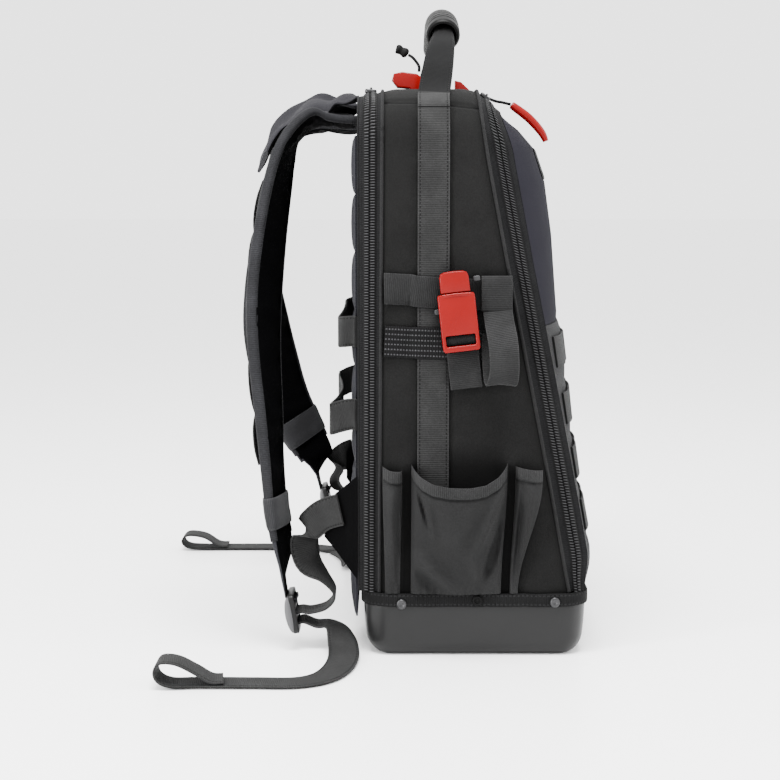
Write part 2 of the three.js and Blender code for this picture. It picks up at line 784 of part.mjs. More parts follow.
// Frame of a ladder lock: along u is the bag's width, v runs down the strap, w points outward
const lockNear = placer([-149, -130, 44], [0, 1, 0], [0.18, 0, -1]);
const lockFar = placer([-132, 130, 84], [0, 1, 0], [0.25, 0, -1]);
const lockThick = 5;
const lockSlots = [[3.2, 10.6], [13.4, 18.2], [21.6, 26.4]];
const lockLength = 31;

// The turned width direction lies between the bag's width and a line across the pad's own run
function padRows(table) {
  const plain = table.map(([x, y, z, width, thick]) => [x, y, hang(z), 0, 1, 0, width, thick]);
  return frames(plain).map((f, i) => {
    const turn = ((table[i][5] || 0) * Math.PI) / 180;
    const toFront = f.out[0] > 0 ? f.out : mul(f.out, -1);
    const wide = add(mul(f.across, Math.cos(turn)), mul(toFront, Math.sin(turn)));
    return [...plain[i].slice(0, 3), ...wide, ...plain[i].slice(6)];
  });
}

function buildPad(sideName, table, place) {
  const tip = [
    [-12, 3.95, 26, 3], [-5, 3.95, 24.5, 2.2], [2.6, 3.95, 24, 2], [4.7, 2.2, 24, 2],
    [4.75, -4.5, 24, 2],
  ];
  const end = tip.map(([v, w, width, thick]) => [...place([0, v, w]), 0, 1, 0, width, thick]);
  padBar(`shoulder_pad_${sideName}`, 'cloth', [...padRows(table), ...end]);
}

// Daisy chain on the outer face of a pad, bowed out between tacks
function buildPadWeb(sideName, table, from, to) {
  const line = frames(padRows(table));
  const steps = 4;
  const bows = [0, 2.4, 3.2, 2.4];
  const side = line[from].out[0] < 0 ? 1 : -1;
  const rows = [];
  for (let i = from; i < to; i += 1) {
    for (let k = 0; k < steps || (i === to - 1 && k === steps); k += 1) {
      const f = between(line[i], line[i + 1], k / steps);
      const end = (i === from && k === 0) || k === steps ? 0.6 : 0;
      const lift = f.rest[1] / 2 + gap + 0.1 + end + webThick / 2 + bows[k % steps];
      rows.push([...add(f.here, mul(f.out, side * lift)), ...f.across, webWidth, webThick]);
    }
  }
  ribbon(`pad_web_${sideName}`, 'web', rows);
}

const yokeSlope = 0.42;
function buildYoke(sideName, sign) {
  const rows = [
    [-96.1, 60, 447], [-112, 60, 448], [-130, 62, 449.5], [-148, 67, 444.5], [-161, 74, 429],
    [-168, 80, 411], [-174, 86, 394],
  ].map(([x, y, z], i) => {
    const slope = yokeSlope * Math.min(1, i / 2) * (i > 4 ? 0.4 : 1);
    return [x, sign * y, hang(z), 0, 1, -sign * slope, 58, 4];
  });
  padBar(`yoke_${sideName}`, 'cloth', rows);
}

// Keeper band round the thin end of a pad
function buildKeeper(sideName, table, index, clear) {
  const line = frames(padRows(table));
  const reach = (a, b) => webWidth / 2 / Math.hypot(...sub(line[a].here, line[b].here));
  const stops = [
    between(line[index], line[index - 1], reach(index, index - 1)),
    line[index],
    between(line[index], line[index + 1], reach(index, index + 1)),
  ];
  const round = (f, grow) => padSection(f, f.rest[0] + 2 * grow, f.rest[1] + 2 * grow);
  const inner = stops.map((f) => round(f, clear));
  const outer = stops.map((f) => round(f, clear + webThick));
  const turned = (rings) => rings[0].map((_, i) => rings.map((ring) => ring[i]));
  slab(`keeper_${sideName}`, 'web', turned(outer), turned(inner), true);
}

function buildLock(sideName, place) {
  const outline = roundedOutline(34, lockLength, 4, 2).map(([a, b]) => [a, b + lockLength / 2]);
  const holes = lockSlots.map(([v0, v1]) => boxHole(-13.4, 13.4, v0, v1));
  plate(`ladder_lock_${sideName}`, 'lock', outline, holes, lockThick, 0.8,
    (p) => place([p[0], p[1], p[2] - lockThick / 2]));
}

// Adjusting strap: wing, through the lock, back out as the free tail with its end loop
const webNearStart = [
  [-108, -149.2, 112, 0, 0, 1], [-118, -142, 108, 0, 0, 1], [-127, -136.6, 102, 0.1, 0, 1],
  [-137, -134, 89, 0.5, 0.1, 0.85], [-135, -132, 70, 0.75, 0.5, 0.35],
  [-122, -130, 56, 0.3, 1, 0], [-113, -130, 43, 0, 1, 0], [-119, -130, 33, 0, 1, 0],
  [-132, -130, 29, 0, 1, 0],
];
const webNearEnd = [
  [-128, -130, 18, 0, 1, 0], [-118, -131, 18, 0.1, 1, 0], [-110, -137, 15, 0.5, 0.9, 0],
  [-106, -152, 8, 0.9, 0.4, 0], [-105, -175, 3, 1, 0.05, 0], [-110, -203, 1.4, 1, -0.15, 0],
  [-121, -225, 1.3, 0.75, -0.7, 0], [-140, -236, 1.3, 0.3, -1, 0], [-170, -236, 1.3, 0, -1, 0],
  [-212, -236, 1.6, 0, -1, 0], [-232, -238, 2, 0, -1, 0],
  [-242, -238, 6, 0, -1, 0], [-244.5, -238, 13, 0, -1, 0], [-240, -238, 19, 0, -1, 0],
  [-228, -237, 18, 0, -1, 0], [-214, -236, 11, 0, -1, 0], [-203, -235, 4.6, 0, -1, 0],
  [-194, -234, 4, 0, -1, 0],
];
const webFarStart = [
  [-104, 151.4, 112, 0, 0, 1], [-112.5, 147.4, 109, 0, 0, 1], [-120.5, 146.2, 99, 0.1, 0, 1],
  [-120, 138, 87, 0.5, -0.7, 0.2], [-113, 131, 79, 0, -1, 0], [-114, 130, 73, 0, -1, 0],
];
const webFarEnd = [
  [-115, 130, 56, 0, -1, 0], [-111.5, 131, 44, 0, -1, 0], [-110, 136, 28, 0, -1, 0],
  [-107, 148, 12, -0.5, -0.9, 0], [-105, 166, 4, -0.9, -0.5, 0], [-110, 195, 1.4, -1, 0, 0],
  [-122, 222, 1.3, -0.8, 0.7, 0], [-145, 238, 1.3, -0.3, 1, 0], [-185, 243, 1.3, 0, 1, 0],
  [-235, 243, 1.3, 0, 1, 0], [-262, 242, 1.6, 0, 1, 0],
  [-279, 242, 3, 0, 1, 0], [-285, 242, 9, 0, 1, 0], [-279, 242, 15, 0, 1, 0],
  [-262, 242, 13, 0, 1, 0], [-248, 243, 4.8, 0, 1, 0], [-238, 243, 4, 0, 1, 0],
];

function buildAdjuster(sideName, start, end, place, sign) {
  const rise = lockThick / 2 + 0.5 + webThick / 2;
  const [, enter, leave] = lockSlots;
  const midIn = (enter[0] + enter[1]) / 2;
  const midOut = (leave[0] + leave[1]) / 2;
  const through = [
    [midIn, -rise - 3], [midIn, -1], [midIn + 1.1, rise * 0.9],
    [mix(midIn, midOut, 0.5), rise + 1.3], [midOut - 1.1, rise * 0.9], [midOut, -1],
    [midOut, -rise - 3],
  ].map(([v, w]) => [...place([0, v, w]), 0, sign, 0]);
  const rows = [...samples(start, 2), ...through, ...samples(end, 2)];
  ribbon(`adjust_web_${sideName}`, 'web', rows);
}

function buildWing(sideName, sign, reach) {
  const [rootX, rootY] = [rearFace - 0.1, 152];
  const table = [
    [0, 0, 139, 58], [-7.5, -3, 133, 66], [-18.5, -11, 124, 78], [-29.5, -19, 114, 88],
  ];
  const flat = (dy) => table.map(([dx, step, high, low]) => [high, (high + low) / 2, low].map(
    (z) => [rootX + dx * reach, sign * (rootY + step * reach + dy), z],
  ));
  slab(`wing_${sideName}`, 'cloth', flat(1.6), flat(-1.6));
}

// Two webbing bands across the wearer's side
function buildBackBands() {
  const spans = [
    ['upper', [[-147, 1.2, 252], [-140, 1.4, 252], [-134, 6, 252], [-128, 15, 251],
      [-112, 19, 250], [-60, 18, 250], [0, 17, 250]]],
    ['lower', [[-147, 1.3, 186], [-141, 1.6, 186], [-135, 9, 184], [-129, 20, 180],
      [-116, 27, 176], [-60, 22, 176], [0, 19, 178]]],
  ];
  for (const [label, half] of spans) {
    const near = half.map(([y, off, z]) => [rearFace - off, y, z, 0, 0, 1]);
    const far = near.slice(0, -1).reverse().map((r) => [r[0], -r[1], r[2], 0, 0, 1]);
    ribbon(`back_band_${label}`, 'web', [...near, ...far]);
  }
}

function disc(name, slot, middle, axis, radius, thick, sides = 10) {
  const side = Math.abs(axis[2]) > 0.9 ? [1, 0, 0] : [0, 0, 1];
  const rows = [0, 0.55, 1].map((k) => [...add(middle, mul(axis, thick * k)), ...side]);
  const radii = [radius, radius * 0.92, radius * 0.6];
  cordBar(name, slot, rows.map((r, i) => [...r, radii[i]]), radius, sides);
}

function buildRivets() {
  const out = halfWidth + gap + bindingThick + 0.2;
  [[-58.8, 41], [1.6, 44], [63.6, 42.5]].forEach(([x, z], i) => {
    disc(`rivet_${i + 1}`, 'metal', [x, -out, z], [0, -1, 0], 4, 1.6);
  });
}


// Rubber foot wrapped under the tray's front edge
function buildFoot() {
  const section = [
    [78, 0], [85, 0], [89.6, 4], [90.2, 11.5], [88.5, 11.6], [86.9, 7.6], [80.9, 1.6],
  ];
  const ring = (y) => section.map(([x, z]) => [x, y, z]);
  loft('front_foot', 'rubber', [ring(-118), ring(118)]);
}

function buildSmallParts() {
  const tubeMid = -112;
  const cordRows = [
    [7.1, 4.5], [9.8, 6.7], [16, 9.4], [22, 10.6], [28.65, 12.25],
  ].map(([x, below]) => [x, tubeMid, bodyHeight - below, 0, 1, 0]);
  cordBar('front_pull_cord', 'rubber', cordRows, 1.3);
  const tube = [
    [29, 12.5, 2.6], [31, 14, 3.4], [43, 23.5, 3.6], [53, 35, 3.2], [57, 43, 2.2],
  ].map(([x, below, radius]) => [x, tubeMid, bodyHeight - below, 0, 1, 0, radius]);
  cordBar('front_pull', 'red', tube, 3, 8);
  const lockHeight = 17;
  const topFace = bodyHeight + gap;
  const place = placer([-54, -60, topFace + lockHeight / 2], [1, 0, 0], [0, 0, 1]);
  plate('top_lock_left', 'red', roundedOutline(25, lockHeight, 3, 2), [], 13, 1.2, place);
  const placeRight = placer([-8, -60, topFace + 5], [1, 0, 0], [0, 0, 1]);
  plate('top_lock_right', 'red', roundedOutline(13, 10, 2, 2), [], 12, 1, placeRight);
  const cordFoot = topFace + lockHeight + gap + 0.1;
  const loop = [
    [-44, -66, cordFoot, 0, 1, 0], [-44.3, -66, cordFoot + 5, 0, 1, 0],
    [-49, -66, cordFoot + 11.3, 0, 1, 0], [-53, -66, cordFoot + 13.8, 0, 1, 0],
  ];
  cordBar('top_cord', 'rubber', loop, 1.3);
  const toggle = [[-53.4, 14.05], [-56, 15.6], [-61, 18.3], [-63, 19.3]]
    .map(([x, rise]) => [x, -66, cordFoot + rise]);
  const radii = [2.4, 4, 4, 2.6];
  cordBar('top_toggle', 'rubber', toggle.map((p, i) => [...p, 0, 1, 0, radii[i]]), 4, 8);
}

function buildPatch() {
  const heights = [74, 59, 48].map((below) => bodyHeight - below);
  const shares = [-0.58, 0, 0.58];
  const out = heights.map((z) => shares.map((s) => add(frontPoint(z, s), [1.6, 0, 0.6])));
  const inn = heights.map((z) => shares.map((s) => add(frontPoint(z, s), [0.4, 0, 0.15])));
  slab('front_patch', 'rubber', out, inn);
}

buildTray();
buildBinding();
buildRivets();
buildFoot();
buildSidePanels();
buildZips();
buildFront();
buildFrontBands();
buildPatch();
buildRearPlate();
buildBackPad();
buildLumbarPad();
buildBackBands();
buildCarryStrap();
buildGrip();
for (const [sideName, flipSide] of [['near', false], ['far', true]]) {
  buildPockets(sideName, flipSide);
  buildSideWebs(sideName, flipSide);
}
buildBuckle();
buildToolLoop();
for (const [sideName, table, place, sign, wingReach] of [
  ['near', padNear, lockNear, -1, 0.92], ['far', padFar, lockFar, 1, 0.56],
]) {
  buildPad(sideName, table, place);
  buildPadWeb(sideName, table, 5, 10);
  buildYoke(sideName, sign);
  buildKeeper(sideName, table, 11, sideName === 'near' ? 0.6 : 0.8);
  buildLock(sideName, place);
  buildWing(sideName, sign, wingReach);
}
buildAdjuster('near', webNearStart, webNearEnd, lockNear, 1);
buildAdjuster('far', webFarStart, webFarEnd, lockFar, -1);
buildSmallParts();

export default group;
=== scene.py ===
import math

import bpy
import numpy as np
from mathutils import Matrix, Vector


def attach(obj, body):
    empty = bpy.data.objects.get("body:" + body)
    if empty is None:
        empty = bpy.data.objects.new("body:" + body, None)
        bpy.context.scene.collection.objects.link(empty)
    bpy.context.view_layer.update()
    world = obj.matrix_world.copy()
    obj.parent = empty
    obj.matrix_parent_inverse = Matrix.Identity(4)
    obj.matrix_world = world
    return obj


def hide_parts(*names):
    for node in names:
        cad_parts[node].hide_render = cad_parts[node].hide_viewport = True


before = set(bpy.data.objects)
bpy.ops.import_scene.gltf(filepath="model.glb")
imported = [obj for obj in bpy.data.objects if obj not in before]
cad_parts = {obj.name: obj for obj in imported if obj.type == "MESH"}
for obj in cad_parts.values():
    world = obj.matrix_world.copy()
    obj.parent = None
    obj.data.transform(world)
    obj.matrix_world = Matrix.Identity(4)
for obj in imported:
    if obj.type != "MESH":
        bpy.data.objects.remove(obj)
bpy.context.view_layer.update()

# Sizes in millimetres, as in the part's source
HALF = 158.5  # half the body's width
BODY = 451.0  # height of the body
CORNER = 42.0  # radius of its upper corners
TUCK = 2.2  # the seams lie this far inside the side cloth
EDGE = 6.0  # the end faces are this much smaller all round
GAP = 0.3  # clearance between pieces
WEB = 25.0  # width of the webbing
THICK = 1.8  # its thickness
REAR_X = -92.5  # back cloth, its inner side
REAR_FACE = -94.0  # back cloth, the side towards the wearer
TRAY_HALF = 160.0  # half the tray's width
BINDING_TOP = 49.0  # top of the tray's hem tape
FLOOR_Z = BINDING_TOP + GAP
DOME_TOP = BODY - 18  # top edge of the smooth front
SPLIT = 258.0  # seam between the smooth front and the webbing rows
STRAP_X = -34.0  # middle of the carry strap
TOOTH = 2.25  # pitch of the zip teeth
RAISE = 7.5  # the soft pieces sit this much higher at mid-height than the plain solids

# The front seam's x and the front face's x at heights z, as (z, x)
SEAM = [(45, 75.4), (51, 74.4), (117, 61.6), (256, 33.6), (309, 23), (392, 7.6), (427, 2.4), (451, 0)]
FRONT = [(49, 94), (57, 99), (75, 98), (101, 92), (128, 87), (169, 82), (219, 77), (269, 71),
         (330, 67), (375, 61), (404, 51), (419, 38), (433, 17)]


def look(table, key):
    return float(np.interp(key, [a for a, _ in table], [b for _, b in table]))


def smooth(k):
    k = min(1.0, max(0.0, k))
    return k * k * (3 - 2 * k)


def seam_x(z):
    return look(SEAM, z)


def rear_x(z):
    return -76 + 3 * z / BODY


def unit(a):
    a = np.asarray(a, float)
    n = np.linalg.norm(a, axis=-1, keepdims=True)
    return a / np.where(n < 1e-12, 1, n)


def run_length(points):
    """Distance along a row of points, from 0 at the first."""
    steps = np.linalg.norm(np.diff(points, axis=0), axis=1)
    return np.concatenate([[0.0], np.cumsum(steps)])


def loop_length(points):
    """The same round a closed row, with the whole way round at the end."""
    return run_length(np.concatenate([points, points[:1]]))


def turns(count):
    """Equal angles round a circle."""
    return [2 * math.pi * k / count for k in range(count)]


def rounded_square(angle, power):
    """Point at an angle on a circle squared up by a power below 1."""
    return [math.copysign(abs(w) ** power, w) for w in (math.cos(angle), math.sin(angle))]


def eased(spans, count):
    """Heights over joined spans, closer together towards the seams."""
    steps = 0.5 - 0.5 * np.cos(np.linspace(0, math.pi, count))
    return [low + (high - low) * s for low, high in spans for s in steps[:-1]] + [spans[-1][1]]


def wave(x, y, z, seed):
    """Smooth repeatable ripple in about -1..1, without random numbers."""
    a = math.sin(x * 0.071 + y * 0.113 + z * 0.037 + seed)
    b = math.sin(x * 0.137 - y * 0.051 + z * 0.089 + 1.7 * seed)
    c = math.sin(x * 0.043 + y * 0.029 - z * 0.151 + 2.9 * seed)
    return (a + b * c + c) / 2.6


# Mesh building

def link(obj):
    bpy.context.scene.collection.objects.link(obj)


def make(name, verts, faces, uvs, material, nodes=(), slot="cloth", angle=38):
    """One object from millimetre points, faces and per-corner UVs in millimetres."""
    mesh = bpy.data.meshes.new(name)
    verts = np.array(verts, float)
    verts[:, 2] += RAISE * np.sin(math.pi * np.clip(verts[:, 2], 0, BODY) / BODY)
    verts *= 0.001
    if slot == "web":
        verts[:, 2] = np.maximum(verts[:, 2], 0.0004)
    mesh.from_pydata([tuple(v) for v in verts], [], [tuple(f) for f in faces])
    if uvs is not None:
        layer = mesh.uv_layers.new(name="UVMap")
        layer.data.foreach_set("uv", np.asarray(uvs, np.float32).ravel())
    mesh.validate()
    mesh.shade_smooth()
    mesh.set_sharp_from_angle(angle=math.radians(angle))
    obj = bpy.data.objects.new(name, mesh)
    link(obj)
    obj.data.materials.append(material)
    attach(obj, "root")
    if nodes:
        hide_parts(*([nodes] if isinstance(nodes, str) else nodes))
    return obj


def second_material(obj, material, faces):
    """Gives the faces with these numbers another material."""
    obj.data.materials.append(material)
    index = np.zeros(len(obj.data.polygons), np.int32)
    index[faces] = 1
    obj.data.polygons.foreach_set("material_index", index)


def volume_sign(verts, faces):
    v = np.asarray(verts, float)
    total = 0.0
    for f in faces:
        for k in range(1, len(f) - 1):
            total += np.dot(v[f[0]], np.cross(v[f[k]], v[f[k + 1]]))
    return total


def oriented(verts, faces, uvs):
    """Turns every face round if the closed mesh points inward."""
    if volume_sign(verts, faces) >= 0:
        return faces, [c for corner in uvs for c in corner]
    flipped = [tuple(reversed(f)) for f in faces]
    return flipped, [c for corner in uvs for c in reversed(corner)]


def slab(name, outer, inner, material, nodes=(), slot="cloth", uv=None, ring=False, angle=38):
    """Closed body between two grids of points; uv is a grid of (u, v)."""
    outer = np.asarray(outer, float)
    inner = np.asarray(inner, float)
    rows, cols = outer.shape[:2]
    verts = np.concatenate([outer.reshape(-1, 3), inner.reshape(-1, 3)])
    if uv is None:
        along = run_length(outer[:, cols // 2])
        wide = np.zeros((rows, cols))
        wide[:, 1:] = np.cumsum(np.linalg.norm(np.diff(outer, axis=1), axis=2), axis=1)
        uv = np.stack([wide - wide[:, -1:] / 2, np.repeat(along[:, None], cols, 1)], -1)
    uv = np.asarray(uv, float)
    if ring:
        step = np.linalg.norm(outer[0, cols // 2] - outer[-1, cols // 2])
        uv = np.concatenate([uv, uv[:1] * [1, 0] + [0, uv[-1, cols // 2, 1] + step]])
    half = rows * cols
    faces, corners = [], []

    def quad(points, keys):
        faces.append(tuple(points))
        corners.append([tuple(uv[k]) for k in keys])

    last = rows if ring else rows - 1
    for i in range(last):
        n = (i + 1) % rows
        for j in range(cols - 1):
            keys = [(i, j), (i + 1, j), (i + 1, j + 1), (i, j + 1)]
            a = [i * cols + j, n * cols + j, n * cols + j + 1, i * cols + j + 1]
            quad(a, keys)
            quad([half + p for p in reversed(a)], list(reversed(keys)))
        for j, order in ((0, 1), (cols - 1, -1)):
            a = [i * cols + j, half + i * cols + j, half + n * cols + j, n * cols + j]
            keys = [(i, j), (i, j), (i + 1, j), (i + 1, j)]
            quad(a[::order], keys[::order])
    if not ring:
        for i, order in ((0, 1), (rows - 1, -1)):
            for j in range(cols - 1):
                here = i * cols + j
                a = [here, here + 1, half + here + 1, half + here]
                keys = [(i, j), (i, j + 1), (i, j + 1), (i, j)]
                quad(a[::order], keys[::order])
    faces, flat = oriented(verts, faces, corners)
    return make(name, verts, faces, flat, material, nodes, slot, angle)


def loft(name, rings, material, nodes=(), slot="cloth", uv=None, closed=False, angle=38):
    """Closed body through equal rings of points; closed joins the last ring to the first."""
    rings = np.asarray(rings, float)
    rows, cols = rings.shape[:2]
    if uv is None:
        uv = np.stack(np.meshgrid(loop_length(rings[0]), loop_length(rings.mean(1))), -1)
    uv = np.asarray(uv, float)
    verts = list(rings.reshape(-1, 3))
    faces, corners = [], []
    for i in range(rows if closed else rows - 1):
        n = (i + 1) % rows
        for j in range(cols):
            k = (j + 1) % cols
            faces.append((i * cols + j, i * cols + k, n * cols + k, n * cols + j))
            keys = (i, j), (i, j + 1), (i + 1, j + 1), (i + 1, j)
            corners.append([tuple(uv[key]) for key in keys])
    if not closed:
        for i, turn in ((0, 1), (rows - 1, -1)):
            verts.append(rings[i].mean(0))
            hub = len(verts) - 1
            for j in range(cols):
                k = (j + 1) % cols
                face = (hub, i * cols + k, i * cols + j)
                mid = tuple((uv[i, j] + uv[i, j + 1]) / 2)
                keys = [mid, tuple(uv[i, j + 1]), tuple(uv[i, j])]
                faces.append(face[::turn])
                corners.append(keys[::turn])
    faces, flat = oriented(verts, faces, corners)
    return make(name, verts, faces, flat, material, nodes, slot, angle)


def catmull(rows, per):
    """Smooth curve through the rows, with this many steps from one to the next."""
    rows = np.asarray(rows, float)
    out = []
    last = len(rows) - 1
    for i in range(last):
        a, b, c, d = rows[max(0, i - 1)], rows[i], rows[i + 1], rows[min(last, i + 2)]
        for k in range(per):
            t = k / per
            out.append(0.5 * (2 * b + (c - a) * t + (2 * a - 5 * b + 4 * c - d) * t * t
                              + (3 * b - a - 3 * c + d) * t ** 3))
    out.append(rows[last])
    return np.array(out)


def linear(rows, per):
    rows = np.asarray(rows, float)
    out = [a + (b - a) * k / per for a, b in zip(rows, rows[1:]) for k in range(per)]
    return np.array(out + [rows[-1]])


def frames(rows):
    """Points, directions along, across and out of a path with rows x y z bx by bz ..."""
    rows = np.asarray(rows, float)
    here = rows[:, :3]
    before = np.concatenate([here[:1], here[:-1]])
    after = np.concatenate([here[1:], here[-1:]])
    along = unit(after - before)
    wide = rows[:, 3:6]
    across = unit(wide - along * (wide * along).sum(1, keepdims=True))
    out = np.cross(along, across)
    return here, along, across, out, rows[:, 6:], run_length(here)


def ribbon(name, rows, material, nodes=(), slot="web", width=WEB, thick=THICK, crown=0.0):
    """Webbing with rounded selvedges; u runs across it and v along it."""
    here, _, across, out, _, dist = frames(rows)
    half = [(-1, 0), (-0.985, 0.6), (-0.93, 1), (-0.6, 1), (-0.2, 1), (0.2, 1), (0.6, 1), (0.93, 1),
            (0.985, 0.6)]
    shape = half + [(-a, -b) for a, b in half]
    rings, uv = [], []
    for i in range(len(here)):
        rings.append([here[i] + across[i] * a * (width / 2)
                      + out[i] * (b * (thick / 2) + crown * (1 - a * a)) for a, b in shape])
        uv.append([(a * WEB / 2, dist[i]) for a, _ in shape + shape[:1]])
    return loft(name, rings, material, nodes, slot, uv)


def soft_ring(f, i, width, thick, count, power):
    """Ring of a padded strap at row i of its frames."""
    here, _, across, out = f[:4]
    ring = []
    for a in turns(count):
        u, v = rounded_square(a, 2 / power)
        ring.append(here[i] + across[i] * (u * width / 2) + out[i] * (v * thick / 2))
    return ring


def circle(f, i, radius, sides):
    here, _, across, out = f[:4]
    return [here[i] + across[i] * math.cos(a) * radius + out[i] * math.sin(a) * radius
            for a in turns(sides)]


def tube(name, rows, radius, material, nodes=(), slot="web", sides=10):
    """Round tube; without a radius, the rows' last column gives it."""
    f = frames(rows)
    rings = [circle(f, i, f[4][i, 0] if radius is None else radius, sides) for i in range(len(rows))]
    return loft(name, rings, material, nodes, slot)


# Materials: a small set of arithmetic on shader sockets

class Sock:
    """Value in a shader, as a socket or a number."""

    def __init__(self, tree, value):
        self.tree = tree
        self.value = value

    def math(self, op, *others, clamp=False):
        node = self.tree.nodes.new("ShaderNodeMath")
        node.operation = op
        node.use_clamp = clamp
        for k, item in enumerate((self, *others)):
            item = item.value if isinstance(item, Sock) else item
            if isinstance(item, (int, float)):
                node.inputs[k].default_value = item
            else:
                self.tree.links.new(item, node.inputs[k])
        return Sock(self.tree, node.outputs[0])

    def __add__(self, other):
        return self.math("ADD", other)

    def __sub__(self, other):
        return self.math("SUBTRACT", other)

    def __mul__(self, other):
        return self.math("MULTIPLY", other)

    def __truediv__(self, other):
        return self.math("DIVIDE", other)

    def sin(self):
        return self.math("SINE")

    def abs(self):
        return self.math("ABSOLUTE")

    def fract(self):
        return self.math("FRACT")

    def floor(self):
        return self.math("FLOOR")

    def above(self, other):
        return self.math("GREATER_THAN", other)

    def ramp(self, low, high, to_low=0.0, to_high=1.0):
        node = self.tree.nodes.new("ShaderNodeMapRange")
        node.interpolation_type = "SMOOTHSTEP"
        self.tree.links.new(self.value, node.inputs[0])
        for k, v in zip((1, 2, 3, 4), (low, high, to_low, to_high)):
            node.inputs[k].default_value = v
        return Sock(self.tree, node.outputs[0])

    def fall(self, low, high):
        return self.ramp(low, high, 1.0, 0.0)

    def near(self, centre, inner, outer):
        """1 within inner of the centre, falling to 0 at outer."""
        return (self - centre).abs().fall(inner, outer)

    def ribs(self, pitch):
        """Ridges of height 1, this far apart."""
        return (self * (math.pi / pitch)).sin().abs()


def noise(tree, vector, scale, detail=2.0):
    node = tree.nodes.new("ShaderNodeTexNoise")
    node.inputs["Scale"].default_value = scale
    node.inputs["Detail"].default_value = detail
    node.inputs["Roughness"].default_value = 0.55
    tree.links.new(vector, node.inputs["Vector"])
    return Sock(tree, node.outputs["Fac"])


def material(name, colour, rough, recipe=None, height=1.0, sheen=0.0, coat=0.0, metal=0.0, spec=0.05,
             crease_shade=0.75):
    """recipe(tree, u, v, point) gives (bump height in mm, shade factor, roughness shift).

    crease_shade darkens the colour in the folds and gaps: painted shade from an ambient occlusion node."""
    mat = bpy.data.materials.new(name)
    mat.use_nodes = True
    tree = mat.node_tree
    shader = tree.nodes["Principled BSDF"]
    for key, value in {"Roughness": rough, "Metallic": metal, "Specular IOR Level": spec,
                       "Sheen Weight": sheen, "Sheen Roughness": 0.4,
                       "Coat Weight": coat, "Coat Roughness": 0.12}.items():
        shader.inputs[key].default_value = value
    coords = tree.nodes.new("ShaderNodeTexCoord")
    split = tree.nodes.new("ShaderNodeSeparateXYZ")
    tree.links.new(coords.outputs["UV"], split.inputs[0])
    u, v = Sock(tree, split.outputs[0]), Sock(tree, split.outputs[1])
    point = coords.outputs["Object"]
    bump, shade, shift = recipe(tree, u, v, point) if recipe else (None, None, None)
    if shade is None:
        shade = noise(tree, point, 60.0, 3.0).ramp(0.3, 0.7, 0.9, 1.1)
    # Painted shade: ambient occlusion darkens the base colour in folds, gaps and under parts.
    if crease_shade:
        hollow = tree.nodes.new("ShaderNodeAmbientOcclusion")
        hollow.samples = 6
        hollow.inputs["Distance"].default_value = 0.014
        shade = shade * Sock(tree, hollow.outputs["AO"]).ramp(0.25, 0.95, 1 - crease_shade, 1.0)
    mix = tree.nodes.new("ShaderNodeMix")
    mix.data_type = "RGBA"
    mix.blend_type = "MULTIPLY"
    mix.inputs[0].default_value = 1.0
    mix.inputs[6].default_value = (*colour, 1)
    tree.links.new(shade.value, mix.inputs[7])
    tree.links.new(mix.outputs[2], shader.inputs["Base Color"])
    if shift is not None:
        rough_sock = (shift + rough).math("MAXIMUM", 0.08)
        tree.links.new(rough_sock.value, shader.inputs["Roughness"])
    if bump is not None:
        node = tree.nodes.new("ShaderNodeBump")
        node.inputs["Strength"].default_value = height
        node.inputs["Distance"].default_value = 0.001
        tree.links.new(bump.value, node.inputs["Height"])
        tree.links.new(node.outputs[0], shader.inputs["Normal"])
    return mat


def weave(u, v, pitch):
    """Plain weave height, 0..1."""
    check = ((u / pitch).floor() + (v / pitch).floor()).math("MODULO", 2.0).abs()
    return u.ribs(pitch) * check + v.ribs(pitch) * (check * -1.0 + 1.0)


def cloth_recipe(tree, u, v, point):
    cells = weave(u, v, 0.75)
    big = noise(tree, point, 22.0)
    fine = noise(tree, point, 900.0)
    shade = big.ramp(0.3, 0.7, 0.88, 1.12) * fine.ramp(0.2, 0.8, 0.75, 1.25)
    return cells * 0.16 + big * 0.9 + fine * 0.05, shade, None


# Cross seam of the side cloth: level up to an x, then falling, and only beyond a y
CROSS_SEAM_X = -40.0
CROSS_SEAM_Y = 104.0
CROSS_SEAM_Z = 438.0
CROSS_SEAM_FALL = 0.11


def side_recipe(tree, u, v, point):
    """Side cloth: the cross seam near the top, painted shade in the gaps between the pockets and painted shadow
    above the pocket mouths.
    """
    bump, shade, shift = cloth_recipe(tree, u, v, point)
    split = tree.nodes.new("ShaderNodeSeparateXYZ")
    tree.links.new(point, split.inputs[0])
    x, y, z = (Sock(tree, socket) * 1000.0 for socket in split.outputs)
    seam = (z + (x - CROSS_SEAM_X).math("MAXIMUM", 0.0) * CROSS_SEAM_FALL).near(CROSS_SEAM_Z, 0.4, 1.2)
    seam = seam * y.abs().above(CROSS_SEAM_Y)
    rear = x.near(-54.0, 2.5, 5.5)
    front = (x - z * 0.05).near(21.0, 3.0, 6.5)
    # Painted shade between the pockets and painted shadow above their mouths, multiplied into the colour.
    pleat_shade = rear.math("MAXIMUM", front) * z.fall(146.0, 158.0)
    pocket_mouth_shadow = z.fall(150.0, 176.0) * x.near(-14.0, 30.0, 42.0)
    shade = shade * (seam * -0.8 + 1.0) * (pleat_shade * -0.9 + 1.0) * (pocket_mouth_shadow * -0.75 + 1.0)
    return bump + seam * -0.6, shade, shift


def teeth_recipe(tree, u, v, point):
    """Painted highlights on the crests of dark teeth, in two columns half a tooth apart; u is -10..10 over the
    chain.
    """
    tick = (v / TOOTH + 0.375 + u.above(0.0) * 0.5).fract()
    # The pale ticks on the crests are painted highlights.
    return None, tick.near(0.5, 0.05, 0.22) * u.abs().near(4.6, 2.0, 4.2) * 9.0 + 0.35, None


